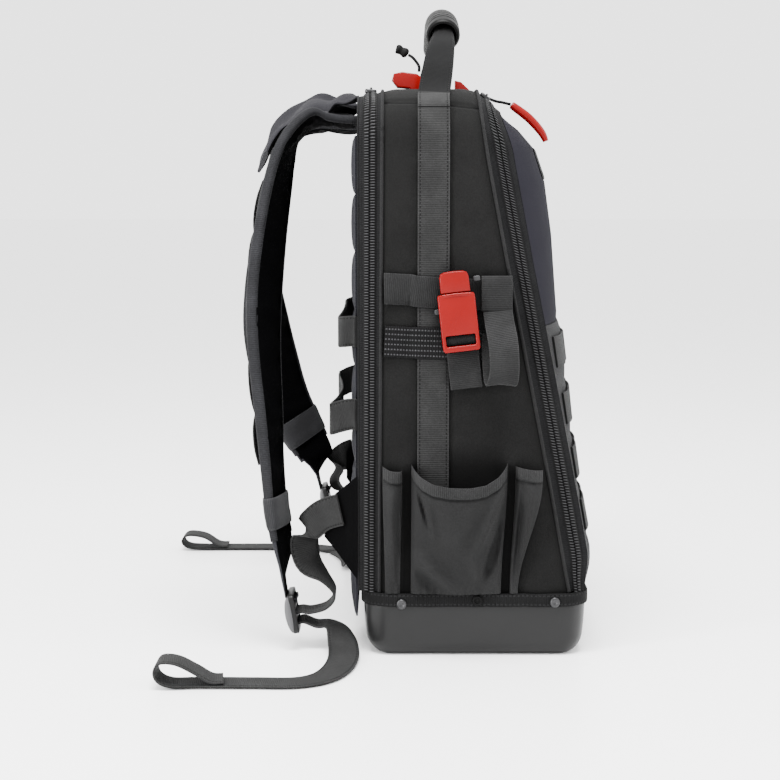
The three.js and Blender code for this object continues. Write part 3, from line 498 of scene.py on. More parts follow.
def web_recipe(tree, u, v, point):
    """Flat webbing: ribs across its width, rolled selvedges."""
    ribs = v.ribs(1.45)
    warp = u.ribs(0.9)
    edge = u.abs().ramp(11.0, 12.4)
    shade = (ribs * 0.5 + 0.68) * (warp * 0.12 + 0.94) * (edge * 0.35 + 1.0)
    shade = shade * noise(tree, point, 800.0).ramp(0.2, 0.8, 0.8, 1.2)
    shade = shade * noise(tree, point, 45.0).ramp(0.3, 0.7, 0.85, 1.15)
    return ribs * 0.22 + warp * 0.05 + edge * 0.1, shade, None


def stitched(lines, pitch, gain):
    """Webbing with rows of stitches at u = each line, the thread's shade changed by the gain."""
    def recipe(tree, u, v, point):
        bump, shade, shift = web_recipe(tree, u, v, point)
        beat = (v / pitch).fract()
        rows = [u.near(at, 0.35, 0.75) for at in lines]
        total = rows[0]
        for row in rows[1:]:
            total = total.math("MAXIMUM", row)
        thread = total * beat.ramp(0.12, 0.3) * beat.fall(0.7, 0.88)
        return bump + thread * 0.35 + total * -0.35, shade * (thread * (gain - 1.0) + 1.0), shift
    return recipe


def pocket_recipe(tree, u, v, point):
    """v is the distance below the top edge, in mm."""
    bump, shade, shift = cloth_recipe(tree, u, v, point)
    hem = v.fall(8.4, 9.2)
    ribs = u.ribs(1.5) * hem
    beat = (u / 2.8).fract()
    seam = v.near(7.6, 0.3, 0.7) * beat.ramp(0.15, 0.3) * beat.fall(0.7, 0.85)
    # Painted shade in the groove just below the hem.
    dark = v.near(9.6, 0.4, 1.4)
    shade = shade * (ribs * 0.35 + 1.0) * (hem * 0.12 + 1.0) * (dark * -0.35 + 1.0)
    return bump + ribs * 0.5 + seam * 0.3, shade, shift


def grain_recipe(scale, depth):
    def recipe(tree, u, v, point):
        fine = noise(tree, point, scale, 3.0)
        big = noise(tree, point, 30.0)
        return fine * depth, big.ramp(0.3, 0.7, 0.94, 1.06), big.ramp(0.3, 0.7, -0.03, 0.03)
    return recipe


def shell_recipe(tree, u, v, point):
    fine = noise(tree, point, 1400.0)
    big = noise(tree, point, 18.0)
    return fine * 0.05 + big * 0.7, big.ramp(0.3, 0.7, 0.95, 1.05) * fine.ramp(0.2, 0.8, 0.9, 1.1), None


def mesh_recipe(tree, u, v, point):
    a = u.ribs(1.3)
    b = (v + (u / 1.3).floor().math("MODULO", 2.0) * 0.9).ribs(1.8)
    hole = (a * b).ramp(0.15, 0.6)
    big = noise(tree, point, 25.0)
    return hole * 0.3 + big * 0.6, (hole * 0.5 + 0.62) * big.ramp(0.3, 0.7, 0.92, 1.08), None


def cord_recipe(tree, u, v, point):
    twist = (u * 1.1 + v).ribs(1.4)
    return twist * 0.2, twist * 0.4 + 0.75, None


def scratch_recipe(tree, u, v, point):
    stretch = tree.nodes.new("ShaderNodeMapping")
    stretch.inputs["Scale"].default_value = (1.0, 1.0, 0.12)
    tree.links.new(point, stretch.inputs["Vector"])
    lines = noise(tree, stretch.outputs[0], 700.0)
    big = noise(tree, point, 40.0)
    return lines * 0.02, big.ramp(0.3, 0.7, 0.97, 1.03), lines.ramp(0.4, 0.7, -0.02, 0.05)


SELVEDGES = (-10.6, 10.6)
CLOTH = material("cloth", (0.006, 0.006, 0.0062), 0.8, cloth_recipe, sheen=0.02)
SIDE = material("side_cloth", (0.0046, 0.0046, 0.0045), 0.8, side_recipe, sheen=0.02)
CLOTH_HEM = material("cloth_hem", (0.009, 0.009, 0.0092), 0.8, cloth_recipe, sheen=0.02)
PANEL = material("panel_cloth", (0.0105, 0.0105, 0.011), 0.75, cloth_recipe, sheen=0.02)
TAPE = material("zip_tape", (0.0035, 0.0035, 0.0037), 0.75, web_recipe)
WEBBING = material("webbing", (0.0076, 0.0076, 0.0077), 0.7, web_recipe, sheen=0.02)
WEB_EDGE = material("webbing_stitched", (0.0112, 0.0112, 0.0112), 0.7,
                    stitched(SELVEDGES, 3.0, 0.3), sheen=0.02)
WEB_DARK = material("webbing_dark", (0.0014, 0.0014, 0.0015), 0.7,
                    stitched(SELVEDGES, 3.0, 2.0), sheen=0.02)
WEB_ROWS = material("webbing_rows", (0.0024, 0.0024, 0.0025), 0.7,
                    stitched((-10, -6, -2, 2, 6, 10), 2.4, 11.0))
BIND = material("binding_tape", (0.0032, 0.0032, 0.0033), 0.72, stitched((-3.4, 3.4), 3.4, 2.4))
PIPE = material("edge_tape", (0.0095, 0.0095, 0.0105), 0.75, web_recipe, sheen=0.02)
TRAY = material("tray_plastic", (0.006, 0.006, 0.0061), 0.36, grain_recipe(900.0, 0.05), spec=0.14, crease_shade=0.7)
RUBBER = material("rubber", (0.003, 0.003, 0.003), 0.62, grain_recipe(700.0, 0.08))
GRIP = material("grip_rubber", (0.0025, 0.0025, 0.0025), 0.42, grain_recipe(800.0, 0.05), spec=0.06, crease_shade=0.9)
SHELL = material("shell_cloth", (0.0088, 0.0084, 0.0112), 0.8, shell_recipe, spec=0.02)
PAD = material("pad_cloth", (0.017, 0.017, 0.0195), 0.8, cloth_recipe, sheen=0.03)
PAD_IN = material("pad_lining", (0.0008, 0.0008, 0.001), 0.9, mesh_recipe, spec=0.02)
YOKE = material("yoke_cloth", (0.0125, 0.0122, 0.0142), 0.8, cloth_recipe, sheen=0.02, crease_shade=0.85)
MESH = material("air_mesh", (0.013, 0.013, 0.0165), 0.85, mesh_recipe, sheen=0.02)
RED = material("red_plastic", (0.115, 0.0, 0.0), 0.34, scratch_recipe, height=0.15, coat=0.08, spec=0.1,
               crease_shade=0.3)
DARK = material("dark_plastic", (0.004, 0.004, 0.004), 0.4, grain_recipe(600.0, 0.03), spec=0.15)
LOCK = material("lock_plastic", (0.022, 0.022, 0.023), 0.4, grain_recipe(600.0, 0.04), spec=0.15)
METAL = material("dark_metal", (0.035, 0.035, 0.036), 0.36, scratch_recipe, metal=0.9, crease_shade=0.3)
TEETH = material("zip_teeth", (0.003, 0.003, 0.0031), 0.42, teeth_recipe, spec=0.06, crease_shade=0.6)
CORD = material("cord", (0.004, 0.004, 0.0043), 0.75, cord_recipe)
POCKET = material("pocket_cloth", (0.01, 0.01, 0.0101), 0.8, pocket_recipe, sheen=0.02)
WING = material("wing_cloth", (0.0006, 0.0006, 0.0007), 0.85, cloth_recipe, spec=0.03)
WEB_BOX = material("webbing_fold", (0.014, 0.014, 0.014), 0.7,
                   stitched(SELVEDGES, 2.6, 0.4), sheen=0.02)
WEB_TACK = material("webbing_tack", (0.0085, 0.0085, 0.0086), 0.6, web_recipe, sheen=0.04)
KEEPER = material("keeper_tape", (0.0145, 0.0145, 0.0155), 0.7, web_recipe, sheen=0.03)
RAIL = material("lock_rail", (0.06, 0.06, 0.062), 0.4, grain_recipe(600.0, 0.03), spec=0.15)

# Camera at the photo's angle; its focal length is in pixels of a picture this wide
SENSOR = 36.0
PICTURE = 780
FOCAL = 1600
CAMERA_AT = (-0.068, -1.41, 0.363)
CAMERA_PITCH = 6.75
camera_data = bpy.data.cameras.new("camera")
camera_data.sensor_fit = "HORIZONTAL"
camera_data.sensor_width = SENSOR
camera_data.lens = FOCAL / PICTURE * SENSOR
camera_data.clip_end = 50
camera = bpy.data.objects.new("camera", camera_data)
camera.location = CAMERA_AT
camera.rotation_euler = (math.radians(90 - CAMERA_PITCH), 0, 0)
link(camera)
bpy.context.scene.camera = camera


# Base

QUARTERS = [(1, 1, 0), (-1, 1, 90), (-1, -1, 180), (1, -1, 270)]


def tray_ring(inset, height, inset_y=None):
    """Outline of the tray, drawn in by the inset, in equal steps along corners and sides."""
    half_x, half_y = 89.5 - inset, TRAY_HALF - (inset if inset_y is None else inset_y)
    corner = max(4, 22 - inset)
    steps, edge = 12, 14

    def spot(sx, sy, degrees):
        a = math.radians(degrees)
        return np.array((0.5 + sx * (half_x - corner) + math.cos(a) * corner,
                         sy * (half_y - corner) + math.sin(a) * corner, height))

    ring = []
    for (sx, sy, start), following in zip(QUARTERS, QUARTERS[1:] + QUARTERS[:1]):
        ring += [spot(sx, sy, start + 90 * k / steps) for k in range(steps + 1)]
        begin, end = ring[-1], spot(*following)
        ring += [begin + (end - begin) * k / edge for k in range(1, edge)]
    return ring


def build_tray():
    levels = []
    for k in range(9):
        a = math.pi / 2 * k / 8
        levels.append((16 * (1 - math.sin(a)) + 1.5, 16 * (1 - math.cos(a)), 8 * (1 - math.sin(a)) + 1))
    wall = [(0.6, 24), (0.2, 31), (0, 36), (0, 44.2), (0.5, 45), (2.4, 45), (3, 44.2), (3.5, 20), (8, 6), (19, 3)]
    levels += [(inset, height, inset) for inset, height in wall]
    rings = [tray_ring(*level) for level in levels]
    count = len(rings[0])
    uv = [[(k * 7.0, level[1]) for k in range(count + 1)] for level in levels] + [[(0, 0)] * (count + 1)]
    loft("tray", rings, TRAY, "base_tray", "tray", uv)


def build_hem_tape():
    outer_profile = [(-GAP, 0), (-1.5, -0.2), (-2.2, 0.5), (-2.3, 5), (-2.2, 9.4), (-1.6, 10), (-GAP, 10)]
    ring_list = []
    for inset, h in outer_profile:
        ring = np.array(tray_ring(inset, BINDING_TOP - 10 + h))
        for p in ring:
            p[2] += 0.35 * wave(p[0] * 3, p[1] * 3, 0, 4.0)
        ring_list.append(ring)
    grid = np.transpose(np.array(ring_list), (1, 0, 2))
    uv = [[(h - 5.0, length) for _, h in outer_profile] + [(0, length)] for length in loop_length(grid[:, 3])]
    loft("hem_tape", grid, BIND, "base_binding", "web", uv, closed=True)


def build_foot():
    section = [(78, 0), (85, 0), (88, 1.6), (89.6, 4), (90.3, 8), (90.2, 11.5), (88.5, 11.6), (86.9, 7.6),
               (84, 3.9), (80.9, 1.6)]
    rings = []
    for k in range(61):
        y = -118 + 236 * k / 60
        sink = 0.5 if k % 6 == 0 else 0.0
        rings.append([(x - sink * (x > 85), y, z) for x, z in section])
    loft("foot", rings, RUBBER, "front_foot", "rubber")


# Rivet heads as (radius, height), and the three rivets' x, z, head and material
CAP = [(4.0, 0), (4.0, 0.5), (3.7, 1.1), (3.0, 1.5), (2.3, 1.6), (1.7, 1.3), (1.2, 0.9), (0.3, 0.8)]
EYE = [(4.0, 0), (4.0, 0.5), (3.6, 1.2), (3.1, 1.5), (2.6, 1.3), (2.2, 0.7), (2.0, 0.2), (0.3, 0.15)]
RIVETS = [(-58.8, 41, CAP, METAL), (1.6, 44, EYE, RUBBER), (63.6, 42.5, CAP, METAL)]


def build_rivets():
    tape_y = -(TRAY_HALF + GAP + 2 + 0.2)
    for n, (x, z, head, mat) in enumerate(RIVETS):
        rings = [[(x + math.cos(a) * r, tape_y - h, z + math.sin(a) * r) for a in turns(28)] for r, h in head]
        loft(f"rivet_head_{n + 1}", rings, mat, f"rivet_{n + 1}", "metal")


# Body

def u_path(half, top, corner, low, side=56, bend=14, flat=34):
    """Points (y, z) and normals up one side, over the top and down the other."""
    pts = []
    shoulder = top - corner
    for k in range(side):
        pts.append((-half, low + (shoulder - low) * k / side, -1, 0))
    for k in range(bend):
        a = math.pi / 2 * k / bend
        pts.append((-half + corner - math.cos(a) * corner, shoulder + math.sin(a) * corner,
                    -math.cos(a), math.sin(a)))
    for k in range(flat // 2 + 1):
        pts.append((-half + corner + (half - corner) * k / (flat / 2), top, 0, 1))
    return pts + [(-y, z, -ny, nz) for y, z, ny, nz in reversed(pts[:-1])]


def u_strip(ring_a, ring_b, profile, wall, lift=None):
    """Grids between two U rings of (point, normal); profile rows are (share, raise)."""
    outer, inner, uv = [], [], []
    dist = 0.0
    for i, ((pa, na), (pb, nb)) in enumerate(zip(ring_a, ring_b)):
        if i:
            dist += float(np.linalg.norm(pa - ring_a[i - 1][0]))
        wide = float(np.linalg.norm(pb - pa))
        row_out, row_in, row_uv = [], [], []
        for share, rise in profile:
            normal = unit(na + (nb - na) * share)
            base = pa + (pb - pa) * share
            extra = lift(base, share, i) if lift else 0.0
            row_out.append(base + normal * (rise + extra))
            row_in.append(base - normal * wall)
            row_uv.append((share * wide, dist))
        outer.append(row_out)
        inner.append(row_in)
        uv.append(row_uv)
    return np.array(outer), np.array(inner), np.array(uv)


def u_ring(half, top, corner, low, x_of, **counts):
    return [(np.array((x_of(z), y, z)), np.array((0.0, ny, nz)))
            for y, z, ny, nz in u_path(half, top, corner, low, **counts)]


def seam_ring(low, x_of, **counts):
    return u_ring(HALF - TUCK, BODY - TUCK, CORNER - TUCK, low, x_of, **counts)


def strip_front_x(z):
    return seam_x(z) + 21 - 4 * smooth((z - 395) / 35) - 7 * (1 - smooth((z - BINDING_TOP) / 32))


def panel_lift(p, share, row):
    """Soft bulge of the side cloth, pinched at its seams and under the webbing."""
    x, y, z = p
    bell = math.sin(math.pi * min(1, max(0, share))) ** 0.5
    lift = (0.5 * wave(x, y * 0.6, z, 1.0) + 0.35 * wave(x * 2.2, z * 0.7, z * 1.9, 5.0)) * bell
    off_seam = abs(z - CROSS_SEAM_Z + CROSS_SEAM_FALL * max(0, x - CROSS_SEAM_X))
    if off_seam < 2.5 and abs(y) > CROSS_SEAM_Y:
        lift -= 1.2 * (1 - off_seam / 2.5)
    if z > BODY - 30 and abs(y) < 118:
        lift += 0.3
    near_strap = abs(x - STRAP_X)
    if z < 436 and 11 < near_strap < 17:
        lift -= 0.5 * (1 - abs(near_strap - 14) / 3)
    return min(lift, 0.15)


def build_side():
    profile = []
    for share in np.linspace(0, 1, 44):
        climb = min(1, min(share, 1 - share) / 0.16)
        profile.append((share, TUCK * math.sin(climb * math.pi / 2)))
    counts = {"side": 110, "bend": 52, "flat": 50}
    rear = seam_ring(45.3, rear_x, **counts)
    front = seam_ring(45.3, lambda z: seam_x(z) - GAP, **counts)
    outer, inner, uv = u_strip(rear, front, profile, 2.2, panel_lift)
    slab("side_cloth", outer, inner, SIDE, "side_gusset", "cloth", uv)


def chain_lift(low, high):
    """Interlocked teeth: two columns of ribs, half a tooth apart, four rows of points to a tooth."""
    mid = (low + high) / 2
    half = (high - low) / 2

    def lift(p, share, row):
        s = (share - mid) / half
        if abs(s) > 1:
            return 0.0
        rib = 1.0 if (row + (2 if s > 0 else 0)) % 4 < 2 else 0.0
        edge = max(0.0, 1 - abs(s)) ** 0.35
        groove = smooth(abs(s) / 0.22)
        return (1.0 + 1.3 * rib) * edge * (0.35 + 0.65 * groove)
    return lift


def build_zips():
    counts = {"side": 640, "bend": 90, "flat": 330}
    rear_a = seam_ring(FLOOR_Z, lambda z: rear_x(z) - GAP, **counts)
    rear_b = u_ring(HALF - EDGE, BODY - EDGE, CORNER - EDGE, FLOOR_Z, lambda z: REAR_X + GAP, **counts)
    front_a = seam_ring(FLOOR_Z, seam_x, **counts)
    front_b = u_ring(HALF - EDGE, DOME_TOP, CORNER - EDGE, FLOOR_Z, strip_front_x, **counts)
    for label, a, b, low, high, away in (("rear", rear_a, rear_b, 0.26, 0.84, -0.6),
                                         ("front", front_a, front_b, 0.33, 0.78, 0.6)):
        lead = [0.0, 0.05, 0.1, 0.14, 0.2, low - 0.01]
        shares = lead + list(np.linspace(low, high, 13)) + [high + 0.01, 0.93, 1.0]
        profile = [(s, 0.9 * smooth((0.17 - s) / 0.08)) for s in shares]
        outer, inner, uv = u_strip(a, b, profile, 1.6, chain_lift(low, high))
        uv[..., 0] = [10 * (2 * s - low - high) / (high - low) for s in shares]
        uv[..., 1] = np.arange(len(a))[:, None] * TOOTH / 4
        obj = slab(f"{label}_strip", outer, inner, TAPE, f"{label}_zip", "web", uv, angle=70)
        first, per_row = len(lead), 2 * len(shares)
        second_material(obj, TEETH, [i * per_row + 2 * j for i in range(len(a) - 1)
                                     for j in range(first, first + 12)])
        pipe = [(*(p + n * 0.9 + (away, 0, 0)), *((0, 0, 1) if abs(n[1]) > 0.99 else (1, 0, 0)))
                for p, n in a[::6]]
        tube(f"{label}_zip_piping", pipe, 1.35, CLOTH_HEM, (), "cloth", 8)


# Front

def front_point(z, share, bulge=0.0):
    """Point of the front at a height and a share of the half width."""
    corner = CORNER - EDGE
    over = max(0, z - (DOME_TOP - corner))
    inside = math.sqrt(max(0, corner * corner - over * over))
    half = HALF - EDGE - (corner - inside)
    edge = strip_front_x(z) + GAP
    middle = look(FRONT, z)
    bow = 1 - abs(share) ** 3.2
    x = edge + max(0, middle - edge) * bow + 2 * (1 - share * share) + bulge * bow
    return np.array((x, half * share, z))


def front_grid(heights, shares, bulge=lambda z: 0.0):
    return np.array([[front_point(z, s, bulge(z)) for s in shares] for z in heights])


def sheet_inner(grid, wall, rim):
    """Inner side of a sheet; rim gives the outward direction where it is fixed."""
    rows, cols = grid.shape[:2]
    inner = np.zeros_like(grid)
    for i in range(rows):
        for j in range(cols):
            fixed = rim(i, j)
            if fixed is None:
                a = grid[min(rows - 1, i + 1), j] - grid[max(0, i - 1), j]
                b = grid[i, min(cols - 1, j + 1)] - grid[i, max(0, j - 1)]
                fixed = unit(np.cross(b, a))
            inner[i, j] = grid[i, j] - np.asarray(fixed) * wall
    return inner


ROW_SEAMS = [FLOOR_Z, 84, 126, 166, 208, 257.7]


def row_bulge(z):
    for low, high in zip(ROW_SEAMS, ROW_SEAMS[1:]):
        if low <= z <= high:
            s = (z - low) / (high - low)
            return 3.0 * math.sin(math.pi * s) ** 0.5 - 1.0 - 4.5 * (1 - smooth((z - FLOOR_Z) / 16))
    return 0.0


FRONT_SHARES = np.sin(np.linspace(-1, 1, 61) * math.pi / 2)


def build_dome():
    top_z = DOME_TOP - 0.6
    heights = list(np.linspace(SPLIT + GAP, 392, 44)) + list(np.linspace(393.5, top_z, 26))
    grid = front_grid(heights, FRONT_SHARES)
    for i, z in enumerate(heights):
        pinch = 1.2 * math.exp(-((z - SPLIT) / 5) ** 2) + 1.0 * math.exp(-((z - top_z) / 4) ** 2)
        grid[i, :, 0] -= pinch * (1 - np.abs(FRONT_SHARES) ** 8)
    corner = CORNER - EDGE

    def rim(i, j):
        if j in (0, 60):
            rise = max(0, heights[i] - DOME_TOP + corner) / corner
            return (0, (j / 30 - 1) * math.sqrt(max(0, 1 - rise * rise)), rise)
        return {0: (1, 0, 0), len(heights) - 1: (0, 0, 1)}.get(i)

    slab("front_dome", grid, sheet_inner(grid, 3, rim), SHELL, "front_shell_upper", "shell")


def build_rows_panel():
    heights = eased(list(zip(ROW_SEAMS, ROW_SEAMS[1:])), 15)
    grid = front_grid(heights, FRONT_SHARES, row_bulge)

    def rim(i, j):
        if j in (0, 60):
            return (0, j / 30 - 1, 0)
        return (1, 0, 0) if i in (0, len(heights) - 1) else None

    slab("front_rows", grid, sheet_inner(grid, 3, rim), PANEL, "front_panel_lower", "cloth")


def build_loop_rows():
    """Four rows of webbing, each sewn down every sixteenth step and bowed between."""
    steps, per_loop = 96, 16
    for n, mid in enumerate((236, 191, 148, 107)):
        rows = []
        for k in range(steps + 1):
            share = -0.94 + 1.88 * k / steps
            lift = 1.5 * math.sin(math.pi * (k % per_loop) / per_loop) ** 0.6
            away = unit(np.array((1, 0.9 * math.copysign(abs(share) ** 6, share), 0)))
            low, high = front_point(mid - WEB / 2, share), front_point(mid + WEB / 2, share)
            base = (low + high) / 2
            base[0] = max(base[0], front_point(mid, share)[0] + 0.3)
            rows.append((*(base + away * (0.9 + lift)), *unit(high - low)))
        ribbon(f"loop_row_{n + 1}", rows, WEBBING, f"front_band_{n + 1}", "web")


def build_patch():
    grid = front_grid(np.linspace(377, 403, 14), np.linspace(-0.58, 0.58, 31))
    normal = unit(np.array((1.0, 0, 0.45)))
    rise = np.array([[0.9 if 0 < i < 13 and 0 < j < 30 else 0.4 for j in range(31)] for i in range(14)])
    outer = grid + normal * (rise[..., None] + 0.4)
    slab("bare_patch", outer, grid + normal * 0.3, RUBBER, "front_patch", "rubber")


# Wearer's side

def build_back():
    path = u_path(HALF - EDGE, BODY - EDGE, CORNER - EDGE, FLOOR_Z)
    ring = [p for p in path if p[0] <= -HALF + CORNER + 0.01]
    shares = np.linspace(-1, 1, 31)
    face = np.array([[(REAR_X, -y * s, z) for s in shares] for y, z, _, _ in ring])
    slab("back_cloth", face, face - (1.4, 0, 0), CLOTH, "rear_plate", "cloth")


# Straps, pockets and hardware

def side_y(offset):
    return -(HALF + offset)


def build_carry_strap():
    lift = GAP + 0.2 + THICK / 2
    half = HALF + lift
    shoulder = BODY - CORNER
    corner = CORNER + lift
    side = [(STRAP_X, -half, z, 1, 0, 0, WEB, THICK) for z in np.linspace(52, shoulder, 60)]
    for turn in range(6, 55, 6):
        a = math.radians(turn)
        side.append((STRAP_X, -half + corner - math.cos(a) * corner, shoulder + math.sin(a) * corner,
                     1, 0, 0, WEB, THICK))
    grip = 512
    climb = [(2, -127, 455, 25, 2.2), (5, -108, 473, 24, 3.6), (8, -86, 489, 21, 6.5),
             (10, -62, grip - 14, 17.5, 9.6), (10, -41.3, grip - 6.2, 17, 9.6),
             (10, -20.7, grip - 1.6, 17, 9.6), (10, 0, grip, 17, 9.6)]
    knots = [side[-1]] + [(STRAP_X + x, y, z, 1, 0, 0, w, t) for x, y, z, w, t in climb]
    rise = catmull(knots, 6)[1:]
    near = np.concatenate([side, rise])
    far = near[:-1][::-1] * [1, -1, 1, 1, 1, 1, 1, 1]
    rows = np.concatenate([near, far])
    here, _, across, out, rest, dist = frames(rows)
    sides = 32
    rings, uv = [], []
    for i in range(len(rows)):
        w, t = rest[i] / 2
        roll = smooth((rest[i, 1] - 2.2) / 6)
        ring, line = [], []
        for a in turns(sides):
            u, v = rounded_square(a, 0.22 + 0.5 * roll)
            crease = 0.28 * roll * math.exp(-(u / 0.22) ** 2) * (1 if v > 0 else 0)
            ring.append(here[i] + across[i] * u * w + out[i] * (v - crease) * t)
            line.append((u * 12.5, dist[i]))
        rings.append(ring)
        uv.append(line + [line[0]])
    obj = loft("carry_webbing", rings, WEB_EDGE, "carry_strap", "web", uv)
    second_material(obj, WEB_DARK, [i * sides + k for i in range(len(rows) - 1) if here[i][2] > BODY - 5
                                    for k in range(sides)])


def build_strap_folds():
    """Folded webbing sewn over the carry strap at both shoulders."""
    shoulder = BODY - CORNER
    across_fold = np.linspace(-12.3, 12.3, 9)
    radius = CORNER + GAP + 0.2 + THICK
    for sign, label in ((-1, "near"), (1, "far")):
        outer, inner = [], []
        for z in np.linspace(434.5, 446, 10):
            over = z - shoulder
            y = HALF - CORNER + math.sqrt(radius ** 2 - over ** 2) + 0.15
            away = np.array((0, sign * (y - HALF + CORNER), over)) / radius
            rim = 1.3 if 435 < z < 445.5 else 0.4
            line = [np.array((STRAP_X + x, sign * y, z)) for x in across_fold]
            inner.append(line)
            outer.append([p + away * rim for p in line])
        slab(f"strap_fold_{label}", outer, inner, WEB_BOX, (), "web")


def build_grip():
    rows = []
    steps = 150
    for k in range(steps + 1):
        share = -1 + 2 * k / steps
        beat = (share * 62) % 6.2 / 6.2
        rib = 1.7 * (1 - smooth(abs(beat - 0.5) / 0.18)) if abs(share) < 0.86 else 0.0
        end = 1.4 * (1 - smooth((1 - abs(share)) / 0.03))
        rows.append((STRAP_X + 10, 62 * share, 512 - 14 * share * share, 1, 0, 0, 14.0 - rib - end))
    f = frames(rows)
    rings = [circle(f, i, f[4][i, 0], 40) for i in range(steps + 1)]
    rings += [circle(f, i, 10.7, 40) for i in range(steps, -1, -5)]
    loft("grip_sleeve", rings, GRIP, "handle_grip", "rubber", closed=True)


# Pockets as (label, rear and front x at the hem, the same at the floor, hem as (share, z), bulge)
POCKETS = [
    ("rear", -74, -58.5, -72, -60, [(0, 148), (0.4, 145.5), (1, 144)], 9),
    ("middle", -51, 25, -51.5, 20.5,
     [(0, 149.5), (0.03, 146), (0.1, 141), (0.22, 136.8), (0.38, 135.2), (0.6, 135), (0.76, 136.4),
      (0.9, 141.5), (0.97, 147), (1, 150)], 24),
    ("front", 31.5, 53, 27.5, 34, [(0, 148), (0.5, 146.5), (1, 145)], 9),
]


def ridge(x, z, a, b, width, height):
    """Soft fold along the line from a to b in the side plane."""
    ab = np.subtract(b, a)
    t = float(np.dot(np.subtract((x, z), a), ab) / np.dot(ab, ab))
    cut = min(1, max(0, t))
    d = math.dist((x, z), (a[0] + ab[0] * cut, a[1] + ab[1] * cut))
    return height * math.exp(-(d / width) ** 2) * math.sin(math.pi * (0.1 + 0.8 * cut))


# Folds of each pocket as (start, end, width, height) with points (x, z)
FOLDS = {
    "middle": [
        ((20, 131), (-2, 80), 3.2, 6.6), ((25, 128), (11, 70), 4.4, -8.0), ((-46, 131), (-38, 103), 1.8, -5.0),
        ((-40, 126), (-33, 96), 2.6, 2.6), ((-47, 79), (-13, 51), 4.4, 5.4), ((-49, 68), (-30, 51), 5.0, -4.0),
        ((16, 92), (4, 54), 3.6, -4.4), ((-6, 84), (6, 56), 4.4, 3.6), ((-22, 122), (-16, 72), 8.0, 2.0),
        ((4, 122), (-10, 84), 6.0, -2.2)],
    "front": [((38, 138), (31, 56), 2.4, -4.6), ((46, 138), (34, 58), 2.6, 3.6)],
    "rear": [((-62, 126), (-62, 58), 1.8, -3.0), ((-68, 130), (-66, 80), 3.0, 1.4)],
}


def build_pocket(label, side, x0, x1, b0, b1, tops, bulge):
    wall = 1.98
    wide = label == "middle"
    across = 56 if wide else 22
    hem_levels = [0.875, 0.885, 0.895, 0.9, 0.905, 0.92, 0.94, 0.96, 0.98, 0.992, 1.0]
    levels = list(np.linspace(0, 0.86, 44)) + hem_levels
    outer, inner, uv = [], [], []
    for level in levels:
        line_out, line_in, line_uv = [], [], []
        for k in range(across + 1):
            share = k / across
            top = look(tops, share)
            z = FLOOR_Z + (top - FLOOR_Z) * level
            base = b0 + (b1 - b0) * share
            x = base + (x0 + (x1 - x0) * share - base) * smooth(level * 1.1)
            crest = math.sin(math.pi * share) ** 0.6 if 0 < share < 1 else 0.0
            clear = 2.4 * min(1, crest * 3) if wide else 0.6 * crest
            puff = clear + bulge * crest * (0.12 + 0.88 * smooth(level * 1.15))
            calm = min(1, crest * 2.5)
            fold = sum(ridge(x, z, *f) for f in FOLDS[label]) * calm * smooth((1 - level) / 0.12)
            fold += 0.5 * wave(x * 1.5, 0, z * 1.5, 7.0) * calm * (0.3 + 0.7 * level)
            hem = 0.0
            if level > 0.9:
                hem = 1.0 + 0.25 * math.sin(x * 2 * math.pi / 2.6) * min(1, (1 - level) / 0.02 + 0.3)
                if level >= 0.99:
                    hem -= 0.5 * (level - 0.98) / 0.02
            elif level > 0.88:
                hem = -0.45
            low_gather = 0.5 * math.sin(x * 1.1 + 1.3) * (1 - smooth(level / 0.12)) * calm
            y = side_y(GAP + 0.1 + wall + max(puff + fold + low_gather, clear * 0.6 if level < 0.9 else 0))
            drop = (1 - level) * (top - FLOOR_Z)
            line_out.append((x, y - hem, z))
            line_in.append((x, y + wall * 0.9, z))
            line_uv.append((x, drop))
        outer.append(line_out)
        inner.append(line_in)
        uv.append(line_uv)
    outer, inner = np.array(outer), np.array(inner)
    if side == "far":
        outer, inner = outer * [1, -1, 1], inner * [1, -1, 1]
    slab(f"pocket_cloth_{label}_{side}", outer, inner, POCKET, f"pocket_{label}_{side}", "cloth", uv)


def build_side_webs(side):
    low = GAP + THICK / 2
    high = low + THICK + GAP
    edge = STRAP_X - WEB / 2
    # Bands as (x, z, distance off the side)
    upper = [(-72.4, 288, low + 0.3), (-69, 288, low + 1.4), (-62, 287.5, low + 1.0),
             (edge - 6, 287, low + 0.2), (edge - 1, 286, high), (-34, 285, high + 0.2), (-21, 284, high),
             (-17, 284, low + 0.6), (-8, 283.5, low), (6, 283.2, low), (20, 283, low)]
    lower = [(-72.4, 246, low), (-60, 245.4, low), (edge - 6, 245, low), (edge - 1, 245, high),
             (-34, 244.5, high), (-21, 244, high), (-17, 243.7, low + 0.6), (-8, 243, low),
             (10, 241.8, low), (31, 240, low)]
    sign = -1 if side == "near" else 1
    for label, rows, mat in (("upper", upper, WEBBING), ("lower", lower, WEB_ROWS)):
        line = [(x, sign * (HALF + lift), z, 0, 0, 1) for x, z, lift in rows]
        ribbon(f"side_band_{label}_{side}", catmull(line, 5), mat, f"side_web_{label}_{side}", "web")


def placer(origin, u_axis, v_axis):
    """Function that places points of a flat piece's own frame."""
    u = unit(np.array(u_axis, float))
    v = np.array(v_axis, float)
    v = unit(v - u * np.dot(u, v))
    w = np.cross(u, v)
    return lambda p: np.asarray(origin) + u * p[0] + v * p[1] + w * p[2]


def rounded(width, length, corner, steps, centre=(0, 0)):
    """Outline of a rectangle with rounded corners."""
    out = []
    for sx, sy, start in QUARTERS:
        for k in range(steps + 1):
            a = math.radians(start + 90 * k / steps)
            out.append((centre[0] + sx * (width / 2 - corner) + math.cos(a) * corner,
                        centre[1] + sy * (length / 2 - corner) + math.sin(a) * corner))
    return out


